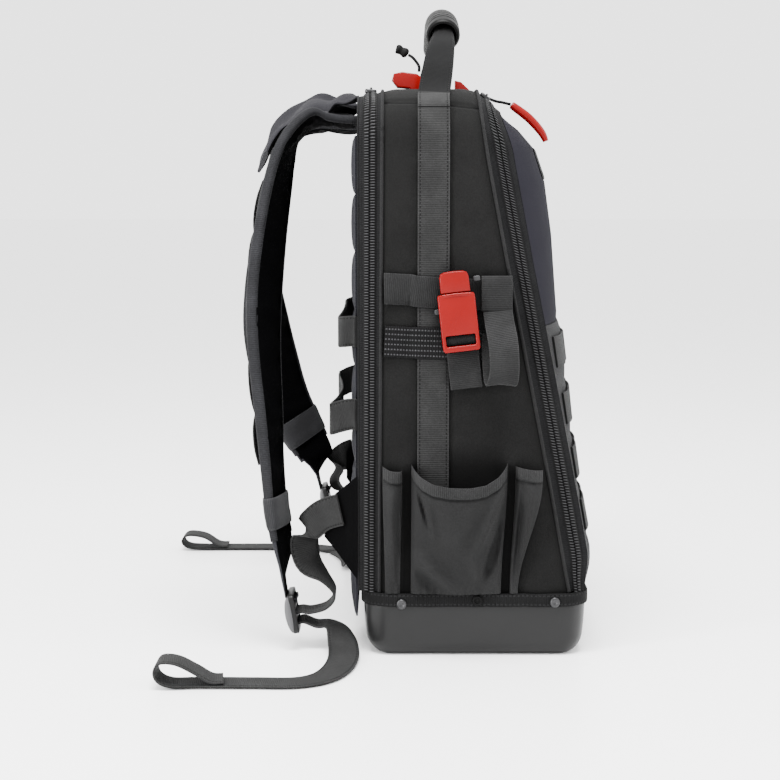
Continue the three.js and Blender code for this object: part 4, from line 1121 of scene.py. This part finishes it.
def plate(name, outline, holes, depth, bevel, place, mat, nodes=(), slot="red", bend=None):
    """Moulded plate with rounded edges, from z 0 to its depth in the placed frame."""
    curve = bpy.data.curves.new(name, "CURVE")
    curve.dimensions = "2D"
    curve.fill_mode = "BOTH"
    for loop in [outline, *holes]:
        spline = curve.splines.new("POLY")
        spline.points.add(len(loop) - 1)
        for point, (a, b) in zip(spline.points, loop):
            point.co = (a, b, 0, 1)
        spline.use_cyclic_u = True
    curve.extrude = depth / 2 - bevel
    curve.bevel_depth = bevel
    curve.bevel_resolution = 3
    curve.offset = -bevel
    holder = bpy.data.objects.new(name, curve)
    link(holder)
    graph = bpy.context.evaluated_depsgraph_get()
    raw = bpy.data.meshes.new_from_object(holder.evaluated_get(graph))
    seen, order, index = {}, [], []
    for p in np.array([v.co for v in raw.vertices], float):
        key = tuple(np.round(p, 4))
        if key not in seen:
            seen[key] = len(order)
            order.append(p)
        index.append(seen[key])
    faces = []
    for poly in raw.polygons:
        face = []
        for k in poly.vertices:
            if not face or index[k] != face[-1]:
                face.append(index[k])
        if len(face) > 2 and face[0] == face[-1]:
            face.pop()
        if len(set(face)) > 2:
            faces.append(tuple(face))
    bpy.data.objects.remove(holder)
    bpy.data.curves.remove(curve)
    bpy.data.meshes.remove(raw)
    flat = np.array(order) + [0, 0, depth / 2]
    verts = []
    for p in flat:
        q = p.copy()
        if bend:
            q[2] += bend(q[0], q[1])
        verts.append(place(q))
    corners = [(float(flat[k][0]), float(flat[k][1])) for f in faces for k in f]
    if volume_sign(verts, faces) < 0:
        faces = [tuple(reversed(f)) for f in faces]
        corners = [(float(flat[k][0]), float(flat[k][1])) for f in faces for k in f]
    return make(name, verts, faces, corners, mat, nodes, slot, 32)


def build_buckle():
    place = placer((-14.5, side_y(6.6), 262), (1, 0, 0.115), (-0.115, 0, 1))
    body = [(-14.5, -20), (-14.2, -21.8), (-13, -23), (13, -23), (14.2, -21.8), (14.5, -20), (14.5, 20.5),
            (13.9, 22.2), (10, 22.9), (0, 23.3), (-10, 22.9), (-13.9, 22.2), (-14.5, 20.5)]
    slot_hole = rounded(23.2, 8.5, 1.0, 3, (0, -14.25))
    plate("buckle_shell", body, [slot_hole], 9, 1.0, place, RED, "buckle_body", "red",
          bend=lambda u, v: -0.9 * (u / 14.5) ** 2)
    tongue = [(-11.5, 23.6), (11.5, 23.6), (11.3, 36), (10.2, 39), (7.5, 40.2), (0, 40.6), (-7.5, 40.2),
              (-10.2, 39), (-11.3, 36)]
    plate("buckle_tongue_shell", tongue, [], 6.5, 1.0, lambda p: place((p[0], p[1], p[2] + 1.2)), RED,
          "buckle_tongue", "red", bend=lambda u, v: -0.6 * (u / 11.5) ** 2)
    rim = []
    for k in range(21):
        t = k / 20
        bow = math.sin(math.pi * t)
        rim.append((*place((-12.2 + 24.4 * t, 20.4 + 0.9 * bow, 8.35 - 0.6 * (2 * t - 1) ** 2)), 0, 1, 0))
    tube("buckle_rim", rim, 0.55, RED, (), "red", 8)
    upward = place((0, 1, 0)) - place((0, 0, 0))
    rows = [(*place((-11.2 + 22.4 * k / 12, -14.2, 3.4)), *upward) for k in range(13)]
    ribbon("buckle_bar_webbing", rows, WEBBING, (), "web", 7.4, 2.2, crown=1.2)
    back = -GAP - THICK / 2
    tail = [(-8, 0.6), (-19, 0.4), (-26, 0.6), (-36, 1.6), (-44, 2.0), (-50, 1.2), (-53, -0.1)]
    rows = [(*place((0.5, v, back + r * 0.45)), 1, 0, 0.115) for v, r in tail]
    ribbon("buckle_strap_end", catmull(rows, 5), WEB_TACK, "buckle_tail", "web")
    for n, (x, z) in enumerate(((-0.6, 296.5), (-30.5, 269.5))):
        tip = placer((x, side_y(4.2), z), (1, 0, 0.115), (-0.115, 0, 1))
        plate(f"buckle_tip_{n + 1}", rounded(5.5, 4.2, 1.2, 3), [], 2.2, 0.7, tip, LOCK, (), "lock")


def build_tool_loop():
    # Points as (x, distance off the side, z)
    knots = [(15.5, 3.7, 297), (15.5, 4.0, 284), (15.8, 4.6, 273), (17, 11, 262), (19.5, 20, 246),
             (20.5, 23, 230), (20, 20, 218), (18, 13, 214), (16.3, 7, 221), (15.5, 4, 238), (15.5, 3.7, 252)]
    rows = [(x, side_y(off), z, 1, -0.012 * (off - 3.7), 0.06 - 0.006 * (off - 3.7)) for x, off, z in knots]
    ribbon("side_tool_loop", catmull(rows, 8), WEB_TACK, "tool_loop", "web", 23)
    top = [(15.3, 5.2, 298.2), (15.3, 6.0, 295), (15.4, 6.2, 284), (15.5, 6.3, 274), (15.5, 5.9, 270.5)]
    rows = [(x, side_y(off), z, 1, 0, 0.06) for x, off, z in top]
    ribbon("tool_loop_tack", catmull(rows, 5), WEB_TACK, (), "web", 24)


# Pads from the top down as (x, y, z, width, thickness, turn towards the near side in degrees)
PAD_NEAR = [
    (-93.2, -61, 427, 62, 9, 0), (-110, -61, 428, 63, 9, 0), (-126, -63, 429, 64, 9, 0),
    (-140, -68, 424, 64, 10, 3), (-151, -78, 404, 64, 10.5, 7), (-158, -88, 378, 64, 11, 11),
    (-165, -104, 330, 62, 11.5, 15), (-169.5, -113, 280, 60, 12, 17), (-169.5, -119, 235, 58, 12, 15),
    (-166, -124, 185, 54, 12, 12), (-163.5, -127, 145, 48, 11, 10), (-160, -129, 108, 42, 9, 12),
    (-154, -130, 76, 36, 6, 18)]
PAD_FAR = [
    (-93.2, 61, 427, 62, 9, 0), (-110, 61, 428, 63, 9, 0), (-130, 63, 429, 64, 9, 0),
    (-150, 68, 424, 64, 10, 0), (-166, 78, 404, 64, 10.5, 2), (-176, 88, 378, 64, 11, 4),
    (-185, 104, 330, 62, 12, 10), (-189, 113, 280, 60, 12, 22), (-186, 119, 235, 58, 13, 38),
    (-178, 124, 195, 54, 12, 49), (-168, 127, 165, 49, 11, 53), (-154, 129, 138, 44, 8.5, 54),
    (-139, 130, 112, 39, 6, 53)]
LOCK_NEAR = placer((-149, -130, 44), (0, 1, 0), (0.18, 0, -1))
LOCK_FAR = placer((-132, 130, 84), (0, 1, 0), (0.25, 0, -1))
LOCK_THICK = 5
# Openings of the ladder lock, from and to along it
SLOTS = [(3.2, 10.6), (13.4, 18.2), (21.6, 26.4)]


def pad_rows(table):
    """Rows of a pad, its face turned towards the near side by the last column, in degrees."""
    plain = [(x, y, z, 0, 1, 0, w, t) for x, y, z, w, t, _ in table]
    f = frames(plain)
    rows = []
    for i, row in enumerate(plain):
        a = math.radians(table[i][5])
        front = f[3][i] if f[3][i][0] > 0 else -f[3][i]
        wide = f[2][i] * math.cos(a) + front * math.sin(a)
        rows.append((*row[:3], *wide, *row[6:]))
    return rows


CLOTH_STEPS = 14


def settle(obj, fixed, pressure, cap, grow):
    """Swells a padded mesh by up to cap mm in a short cloth run; fixed holds the indices of its seams."""
    group = obj.vertex_groups.new(name="seams")
    group.add(fixed, 1.0, "REPLACE")
    cloth = obj.modifiers.new("cloth", "CLOTH")
    cloth.settings.quality = 4
    cloth.settings.mass = 0.15
    cloth.settings.tension_stiffness = 12.0
    cloth.settings.compression_stiffness = 12.0
    cloth.settings.shear_stiffness = 6.0
    cloth.settings.bending_stiffness = 0.05
    cloth.settings.use_pressure = True
    cloth.settings.uniform_pressure_force = pressure
    cloth.settings.vertex_group_mass = "seams"
    cloth.settings.shrink_min = -grow
    cloth.settings.effector_weights.gravity = 0
    cloth.collision_settings.use_collision = False
    cloth.point_cache.frame_start = 1
    cloth.point_cache.frame_end = CLOTH_STEPS
    scene = bpy.context.scene
    for step in range(1, CLOTH_STEPS + 1):
        scene.frame_set(step)
    graph = bpy.context.evaluated_depsgraph_get()
    moved = obj.evaluated_get(graph).to_mesh()
    count = len(obj.data.vertices)
    after = np.empty(count * 3)
    moved.vertices.foreach_get("co", after)
    obj.evaluated_get(graph).to_mesh_clear()
    before = np.empty(count * 3)
    obj.data.vertices.foreach_get("co", before)
    step_by = (after - before).reshape(-1, 3)
    size = np.linalg.norm(step_by, axis=1, keepdims=True)
    step_by *= np.minimum(1, cap * 0.001 / np.maximum(size, 1e-9))
    obj.modifiers.remove(cloth)
    obj.vertex_groups.remove(group)
    obj.data.vertices.foreach_set("co", (before.reshape(-1, 3) + step_by).ravel())
    obj.data.update()
    scene.frame_set(1)


PAD_SIDES = 36
PAD_POWER = 3.4


def build_pad(side, table, place):
    """Padded strap that ends as a tongue through the ladder lock."""
    tip = [(-12, 3.95, 26, 3), (-5, 3.95, 24.5, 2.2), (2.6, 3.95, 24, 2), (4.7, 2.2, 24, 2),
           (4.75, -4.5, 24, 2)]
    rows = pad_rows(table)
    end = [(*place((0, v, w)), 0, 1, 0, width, thick) for v, w, width, thick in tip]
    fine = np.concatenate([catmull(rows, 7), linear([rows[-1]] + end, 2)[1:]])
    f = frames(fine)
    rest, dist = f[4], f[5]
    angles = turns(PAD_SIDES)
    rings, uv = [], []
    for i, (w, t) in enumerate(rest):
        rings.append(soft_ring(f, i, w - 0.8, t - 0.8 if t > 4 else t, PAD_SIDES, PAD_POWER))
        uv.append([(math.cos(a) * w / 2, dist[i]) for a in angles + [0]])
    obj = loft(f"pad_{side}", rings, PAD, f"shoulder_pad_{side}", "cloth", uv)
    inward = np.sign(f[3][20, 0])
    lining = [k for k, a in enumerate(angles) if math.sin(a + math.pi / PAD_SIDES) * inward > 0.3]
    second_material(obj, PAD_IN, [i * PAD_SIDES + k for i in range(len(fine) - 1) for k in lining])
    fixed = [i * PAD_SIDES + k for i in range(len(fine)) for k, a in enumerate(angles)
             if abs(math.cos(a)) > 0.93 or rest[i, 1] < 7 or i < 3]
    settle(obj, fixed, 3.0, 2.2, 0.035)
    build_pad_edges(side, f, 7 * (len(table) - 1) - 2)


def build_pad_edges(side, f, last):
    """Ribbed tape folded over both long edges of a pad."""
    reach = 0.62
    for edge, label in ((0, "a"), (math.pi, "b")):
        outer, inner, uv = [], [], []
        for i in range(1, last):
            w, t = f[4][i] / 2 + 0.15
            far, near, tape = [], [], []
            for a in np.linspace(-reach, reach, 13):
                u, v = rounded_square(edge + a, 2 / PAD_POWER)
                rim = 0.25 if abs(abs(a) - reach) < 1e-6 else 1.0
                base = f[0][i] + f[2][i] * u * w + f[3][i] * v * t
                away = unit(f[2][i] * math.cos(edge + a) + f[3][i] * math.sin(edge + a))
                far.append(base + away * 0.9 * rim)
                near.append(base)
                tape.append((a * 9, f[5][i]))
            outer.append(far)
            inner.append(near)
            uv.append(tape)
        slab(f"pad_edge_{side}_{label}", outer, inner, PIPE, (), "web", uv)


def between(f, i, j, t):
    """Point and directions part of the way from row i to row j."""
    return [a[i] + (a[j] - a[i]) * t for a in f[:5]]


def build_pad_web(side, table):
    f = frames(pad_rows(table))
    bows = [0, 1.6, 2.6, 3.1, 3.2, 3.1, 2.6, 1.6]
    sign = 1 if f[3][5][0] < 0 else -1
    rows = []
    for i in range(5, 10):
        for k in range(8 if i < 9 else 9):
            here, _, across, out, rest = between(f, i, i + 1, k / 8)
            end = 0.6 if (i == 5 and k == 0) or k == 8 else 0.0
            lift = rest[1] / 2 + GAP + 0.6 + end + THICK / 2 + bows[k % 8]
            rows.append((*(here + out * sign * lift), *across))
    ribbon(f"daisy_{side}", rows, WEB_EDGE, f"pad_web_{side}", "web")


def build_yoke(side, sign):
    table = [(-93.2, 60, 447), (-112, 60, 448), (-130, 62, 449.5), (-148, 67, 444.5), (-161, 74, 429),
             (-168, 80, 411), (-174, 86, 394)]
    slope = [0.34 * min(1, i / 2) * (0.4 if i > 4 else 1) for i in range(7)]
    sag = [0, 3, 8, 10, 8, 5, 3]
    rows = catmull([(x + 0.5 * low, sign * y, z - low, 0, 1, -sign * lean)
                    for (x, y, z), low, lean in zip(table, sag, slope)], 8)
    f = frames(rows)
    angles = turns(40)
    rings, uv = [], []
    for i in range(len(rows)):
        share = i / (len(rows) - 1)
        ring = soft_ring(f, i, 57, 3.4, 40, 3.6)
        for k, a in enumerate(angles):
            c = math.cos(a)
            fold = 2.6 * math.sin(c * 5.2 + share * 7.0 + 0.6 * math.sin(share * 11)) * (1 - abs(c) ** 4)
            fold += 2.8 * math.sin(share * 19 + c * 3.0) * math.exp(-((share - 0.25) / 0.22) ** 2)
            calm = smooth(share / 0.08) * smooth((1 - share) / 0.12)
            ring[k] = ring[k] + f[3][i] * fold * calm * (1 if f[3][i][2] > 0 else -1)
        rings.append(ring)
        uv.append([(math.cos(a) * 29, f[5][i]) for a in angles + [0]])
    loft(f"yoke_cloth_{side}", rings, YOKE, f"yoke_{side}", "cloth", uv)


def build_keeper(side, table):
    f = frames(pad_rows(table))
    stops = []
    for t in np.linspace(-1, 1, 9):
        other = 10 if t < 0 else 12
        reach = 12.5 / np.linalg.norm(f[0][11] - f[0][other])
        stops.append(between(f, 11, other, abs(t) * reach))

    def ring(stop, grow):
        here, _, across, out, rest = stop
        wide, thick = rest / 2 + grow
        corners = [rounded_square(a, 0.62) for a in turns(36)]
        return [here + across * (u * wide) + out * (v * thick) for u, v in corners]

    outer = np.transpose([ring(s, 1.5 + (0.7 if 0 < n < 8 else 0.2)) for n, s in enumerate(stops)], (1, 0, 2))
    inner = np.transpose([ring(s, 0.9) for s in stops], (1, 0, 2))
    slab(f"keeper_band_{side}", outer, inner, KEEPER, f"keeper_{side}", "web", ring=True)


def build_lock(side, place):
    outline = rounded(34, 31, 4, 5, (0, 15.5))
    holes = [rounded(26.8, b - a, 1.0, 3, (0, (a + b) / 2)) for a, b in SLOTS]

    def centred(p):
        return place((p[0], p[1], p[2] - LOCK_THICK / 2))

    plate(f"lock_{side}", outline, holes, LOCK_THICK, 1.1, centred, DARK, f"ladder_lock_{side}", "lock")
    for sign, label in ((-1, "a"), (1, "b")):
        rows = []
        for k in range(17):
            t = k / 16
            bow = math.sin(math.pi * t)
            spot = place((sign * 15.2, 1.5 + 28 * t, 2.4 + 1.2 * bow))
            rows.append((*spot, 0, 1, 0, 0.8 + 2.4 * bow ** 0.5))
        tube(f"lock_rail_{side}_{label}", rows, None, RAIL, (), "lock", 12)


# Adjusting straps before and after the lock as (x, y, z) and the direction across
NEAR_START = [
    (-108, -149.2, 112, 0, 0, 1), (-118, -142, 108, 0, 0, 1), (-127, -136.6, 102, 0.1, 0, 1),
    (-137, -134, 89, 0.5, 0.1, 0.85), (-135, -132, 70, 0.75, 0.5, 0.35), (-122, -130, 56, 0.3, 1, 0),
    (-113, -130, 43, 0, 1, 0), (-119, -130, 33, 0, 1, 0), (-132, -130, 29, 0, 1, 0)]
NEAR_END = [
    (-128, -130, 18, 0, 1, 0), (-118, -131, 18, 0.1, 1, 0), (-110, -137, 15, 0.5, 0.9, 0),
    (-106, -152, 8, 0.9, 0.4, 0), (-105, -175, 3, 1, 0.05, 0), (-110, -203, 1.4, 1, -0.15, 0),
    (-121, -225, 1.3, 0.75, -0.7, 0), (-140, -236, 1.3, 0.3, -1, 0), (-170, -236, 1.3, 0, -1, 0),
    (-212, -236, 1.6, 0, -1, 0), (-232, -238, 2, 0, -1, 0), (-242, -238, 6, 0, -1, 0),
    (-244.5, -238, 13, 0, -1, 0), (-240, -238, 19, 0, -1, 0), (-228, -237, 18, 0, -1, 0),
    (-214, -236, 11, 0, -1, 0), (-203, -235, 4.6, 0, -1, 0), (-194, -234, 4, 0, -1, 0)]
FAR_START = [
    (-104, 151.4, 112, 0, 0, 1), (-112.5, 147.4, 109, 0, 0, 1), (-120.5, 146.2, 99, 0.1, 0, 1),
    (-120, 138, 87, 0.5, -0.7, 0.2), (-113, 131, 79, 0, -1, 0), (-114, 130, 73, 0, -1, 0)]
FAR_END = [
    (-115, 130, 56, 0, -1, 0), (-111.5, 131, 44, 0, -1, 0), (-110, 136, 28, 0, -1, 0),
    (-107, 148, 12, -0.5, -0.9, 0), (-105, 166, 4, -0.9, -0.5, 0), (-110, 195, 1.4, -1, 0, 0),
    (-122, 222, 1.3, -0.8, 0.7, 0), (-145, 238, 1.3, -0.3, 1, 0), (-185, 243, 1.3, 0, 1, 0),
    (-235, 243, 1.3, 0, 1, 0), (-262, 242, 1.6, 0, 1, 0), (-279, 242, 3, 0, 1, 0), (-285, 242, 9, 0, 1, 0),
    (-279, 242, 15, 0, 1, 0), (-262, 242, 13, 0, 1, 0), (-248, 243, 4.8, 0, 1, 0), (-238, 243, 4, 0, 1, 0)]


def build_adjuster(side, start, end, place, sign):
    rise = LOCK_THICK / 2 + 0.5 + THICK / 2
    mid_in, mid_out = sum(SLOTS[1]) / 2, sum(SLOTS[2]) / 2
    through = [(mid_in, -rise - 3), (mid_in, -1), (mid_in + 1.1, rise * 0.9),
               ((mid_in + mid_out) / 2, rise + 1.3), (mid_out - 1.1, rise * 0.9), (mid_out, -1),
               (mid_out, -rise - 3)]
    through = [(*place((0, v, w)), 0, sign, 0) for v, w in through]
    rows = catmull(list(start) + through + list(end), 6)
    ribbon(f"adjuster_{side}", rows, WEB_EDGE, f"adjust_web_{side}", "web")


def build_wing(side, sign, reach):
    root_x, root_y = REAR_FACE - 0.1, 152
    # Distance out, step inwards, upper and lower z
    table = [(0, 0, 139, 58), (7.5, -3, 133, 66), (18.5, -11, 124, 78), (29.5, -19, 114, 88)]
    outs, *columns = zip(*table)
    grids = []
    for dy in (1.6, -1.6):
        grid = []
        for dx in np.linspace(0, -outs[-1], 22):
            step, high, low = [np.interp(-dx, outs, column) for column in columns]
            line = []
            for k in range(23):
                s = k / 22
                edge = min(s, 1 - s) * 22
                pull = 0.5 if edge < 1 else 1.0
                soft = 0.5 * wave(dx * 6, 0, s * 60, 2.0) * min(1, edge / 4) * min(1, -dx / 6)
                z = high + (low - high) * s
                line.append((root_x + dx * reach, sign * (root_y + step * reach + dy * pull + soft), z))
            grid.append(line)
        grids.append(grid)
    slab(f"wing_cloth_{side}", grids[0], grids[1], WING, f"wing_{side}", "cloth")


def build_back_bands():
    # Half of each band as (y, distance off the back, z)
    spans = [
        ("upper", [(-147, 1.2, 252), (-140, 1.4, 252), (-134, 5, 252), (-128, 12, 251), (-112, 15.5, 250),
                   (-60, 14.5, 250), (0, 14, 250)]),
        ("lower", [(-147, 1.3, 186), (-141, 1.6, 186), (-135, 8, 185), (-129, 17, 182), (-116, 22.5, 179),
                   (-60, 18.5, 178), (0, 16, 178)])]
    for label, half in spans:
        near = [(REAR_FACE - off, y, z, 0, 0, 1) for y, off, z in half]
        far = [(x, -y, z, 0, 0, 1) for x, y, z, *_ in reversed(near[:-1])]
        ribbon(f"back_loop_{label}", catmull(near + far, 6), WEB_EDGE, f"back_band_{label}", "web")


def cushion(name, node, half, lobes, height, channel, cap):
    """Sewn pad on the wearer's side: lobes between cross seams, with a middle channel."""
    shares = np.linspace(-1, 1, 65)
    outer, fixed = [], []
    cols = len(shares)
    for i, z in enumerate(eased(lobes, 13)):
        lobe = min(i // 12, len(lobes) - 1)
        a, b = lobes[lobe]
        t = (z - a) / (b - a)
        crown = max(0.0, math.sin(math.pi * min(1, max(0, t)))) ** 0.45
        line = []
        for j, s in enumerate(shares):
            side_fall = 1 - abs(s) ** 9
            mid = 1 - channel * math.exp(-(s / 0.055) ** 2)
            rise = 1.2 + (height - 1.6) * crown * side_fall * mid
            line.append((REAR_FACE - 0.4 - rise, half * s, z))
            if i % 12 == 0 or j in (0, 1, cols - 2, cols - 1) or (channel > 0.4 and abs(s) < 0.02):
                fixed.append(i * cols + j)
        outer.append(line)
    outer = np.array(outer)
    inner = outer.copy()
    inner[..., 0] = REAR_FACE - 0.15
    obj = slab(name, outer, inner, MESH, node, "mesh")
    back = outer.shape[0] * outer.shape[1]
    fixed += list(range(back, 2 * back))
    settle(obj, fixed, 3.0, cap, 0.05)


def build_cushions():
    lobes = [(146, 176), (176, 222), (222, 268), (268, 316), (316, 364), (364, 412)]
    cushion("back_cushion", "back_pad", 132, lobes, 4.8, 0.6, 1.2)
    cushion("lumbar_cushion", "lumbar_pad", 138, [(26, 84), (84, 143)], 5.8, 0.0, 1.4)


def pull(name, node, points, y, radius, mat, slot, steps, sides):
    """Small tube in the plane of a y, through points (x, z) or, tapered, (x, z, radius)."""
    rows = [(x, y, z, 0, 1, 0, *taper) for x, z, *taper in points]
    tube(name, catmull(rows, steps), radius, mat, node, slot, sides)


def build_pulls():
    """Front zip's cord and sleeve, and the catch with its cord and toggle on top."""
    zip_y, catch_y, cord_radius = -112.0, -66, 1.25
    cord = [(7.1, 446.5), (9.8, 444.3), (16, 441.6), (22, 440.4), (28.65, 438.75)]
    sleeve = [(29, 438.5, 2.2), (31, 437, 3.3), (43, 427.5, 3.6), (53, 416, 3.2), (57, 408, 2.3)]
    pull("pull_cord", "front_pull_cord", cord, zip_y, cord_radius, CORD, "rubber", 6, 12)
    pull("pull_sleeve", "front_pull", sleeve, zip_y, None, RED, "red", 7, 18)
    top = BODY + GAP
    place = placer((-54, -60, top + 8.5), (1, 0, 0), (0, 0, 1))
    left = [(-12.5, 1.5), (-8, -4.2), (2, -5), (3.5, -8.5), (12.5, -8.5), (12.5, 3.5), (8.5, 6.8), (-4, 8.5),
            (-11, 7)]
    plate("top_catch_left", left, [], 13, 1.2, place, RED, "top_lock_left", "red")
    place = placer((-8, -60, top + 5), (1, 0, 0), (0, 0, 1))
    right = [(-6.5, -5), (6.3, -5), (5.2, -2.4), (-1.5, 3.8), (-6.5, 5)]
    plate("top_catch_right", right, [], 12, 1.0, place, RED, "top_lock_right", "red")
    loop = [(-44, 468.7), (-44.3, 473.7), (-49, 480), (-53, 482.5)]
    toggle = [(-53.4, 482.75, 2.2), (-54.4, 483.4, 3.7), (-56, 484.3, 4.1), (-58.5, 485.6, 3.3),
              (-61, 487, 4.0), (-62.4, 487.8, 3.2), (-63, 488, 1.6)]
    pull("catch_cord", "top_cord", loop, catch_y, cord_radius, CORD, "rubber", 8, 12)
    pull("catch_toggle", "top_toggle", toggle, catch_y, None, RUBBER, "rubber", 5, 20)


def build_sliders():
    for label, origin, fall in (("front", (6.5, -114, 443.2), 0.85), ("rear", (-83.5, -112, 447.6), 0.1)):
        place = placer(origin, (1, 0, -fall), (0, 1, 0))
        plate(f"slider_{label}", rounded(9.5, 11, 2.6, 4), [], 3.6, 1.1, place, METAL, (), "metal")
        bridge = [(*place((0, v, 3.3 + 1.2 * math.sin(math.pi * (v + 4) / 8))), 1, 0, 0)
                  for v in np.linspace(-4, 4, 11)]
        tube(f"slider_bridge_{label}", bridge, 1.1, METAL, (), "metal", 10)


def build_all():
    build_tray()
    build_hem_tape()
    build_foot()
    build_rivets()
    build_side()
    build_zips()
    build_dome()
    build_rows_panel()
    build_loop_rows()
    build_patch()
    build_back()
    build_cushions()
    build_carry_strap()
    build_strap_folds()
    build_grip()
    for side in ("near", "far"):
        for label, *sizes in POCKETS:
            build_pocket(label, side, *sizes)
        build_side_webs(side)
    build_buckle()
    build_tool_loop()
    for side, table, place, sign, reach in (("near", PAD_NEAR, LOCK_NEAR, -1, 0.92),
                                            ("far", PAD_FAR, LOCK_FAR, 1, 0.56)):
        build_pad(side, table, place)
        build_pad_web(side, table)
        build_yoke(side, sign)
        build_keeper(side, table)
        build_lock(side, place)
        build_wing(side, sign, reach)
    build_adjuster("near", NEAR_START, NEAR_END, LOCK_NEAR, 1)
    build_adjuster("far", FAR_START, FAR_END, LOCK_FAR, -1)
    build_back_bands()
    build_pulls()
    build_sliders()


build_all()

# Stage
floor_mesh = bpy.data.meshes.new("floor")
floor_mesh.from_pydata([(-30, -30, 0), (30, -30, 0), (30, 30, 0), (-30, 30, 0)], [], [(0, 1, 2, 3)])
floor = bpy.data.objects.new("floor", floor_mesh)
floor.location.z = -0.0004
link(floor)
floor_mat = bpy.data.materials.new("floor")
floor_mat.use_nodes = True
floor_shader = floor_mat.node_tree.nodes["Principled BSDF"]
floor_shader.inputs["Base Color"].default_value = (0.92, 0.92, 0.92, 1)
floor_shader.inputs["Roughness"].default_value = 0.35
floor.data.materials.append(floor_mat)

world = bpy.data.worlds.new("world")
world.use_nodes = True
world.node_tree.nodes["Background"].inputs[0].default_value = (1, 1, 1, 1)
world.node_tree.nodes["Background"].inputs[1].default_value = 2.9
bpy.context.scene.world = world


def area_light(name, place, aim, size, power):
    data = bpy.data.lights.new(name, "AREA")
    data.shape = "RECTANGLE"
    data.size, data.size_y = size
    data.energy = power
    obj = bpy.data.objects.new(name, data)
    obj.location = place
    turn = Vector(aim) - Vector(place)
    obj.rotation_euler = turn.to_track_quat("-Z", "Y").to_euler()
    link(obj)


area_light("top", (-0.1, -0.6, 1.8), (0, 0, 0.4), (1.0, 0.7), 110)
area_light("left", (-1.5, -1.1, 0.5), (-0.05, 0, 0.15), (0.28, 1.3), 60)
area_light("right", (1.6, -0.5, 0.8), (0.08, 0, 0.25), (0.35, 1.4), 22)
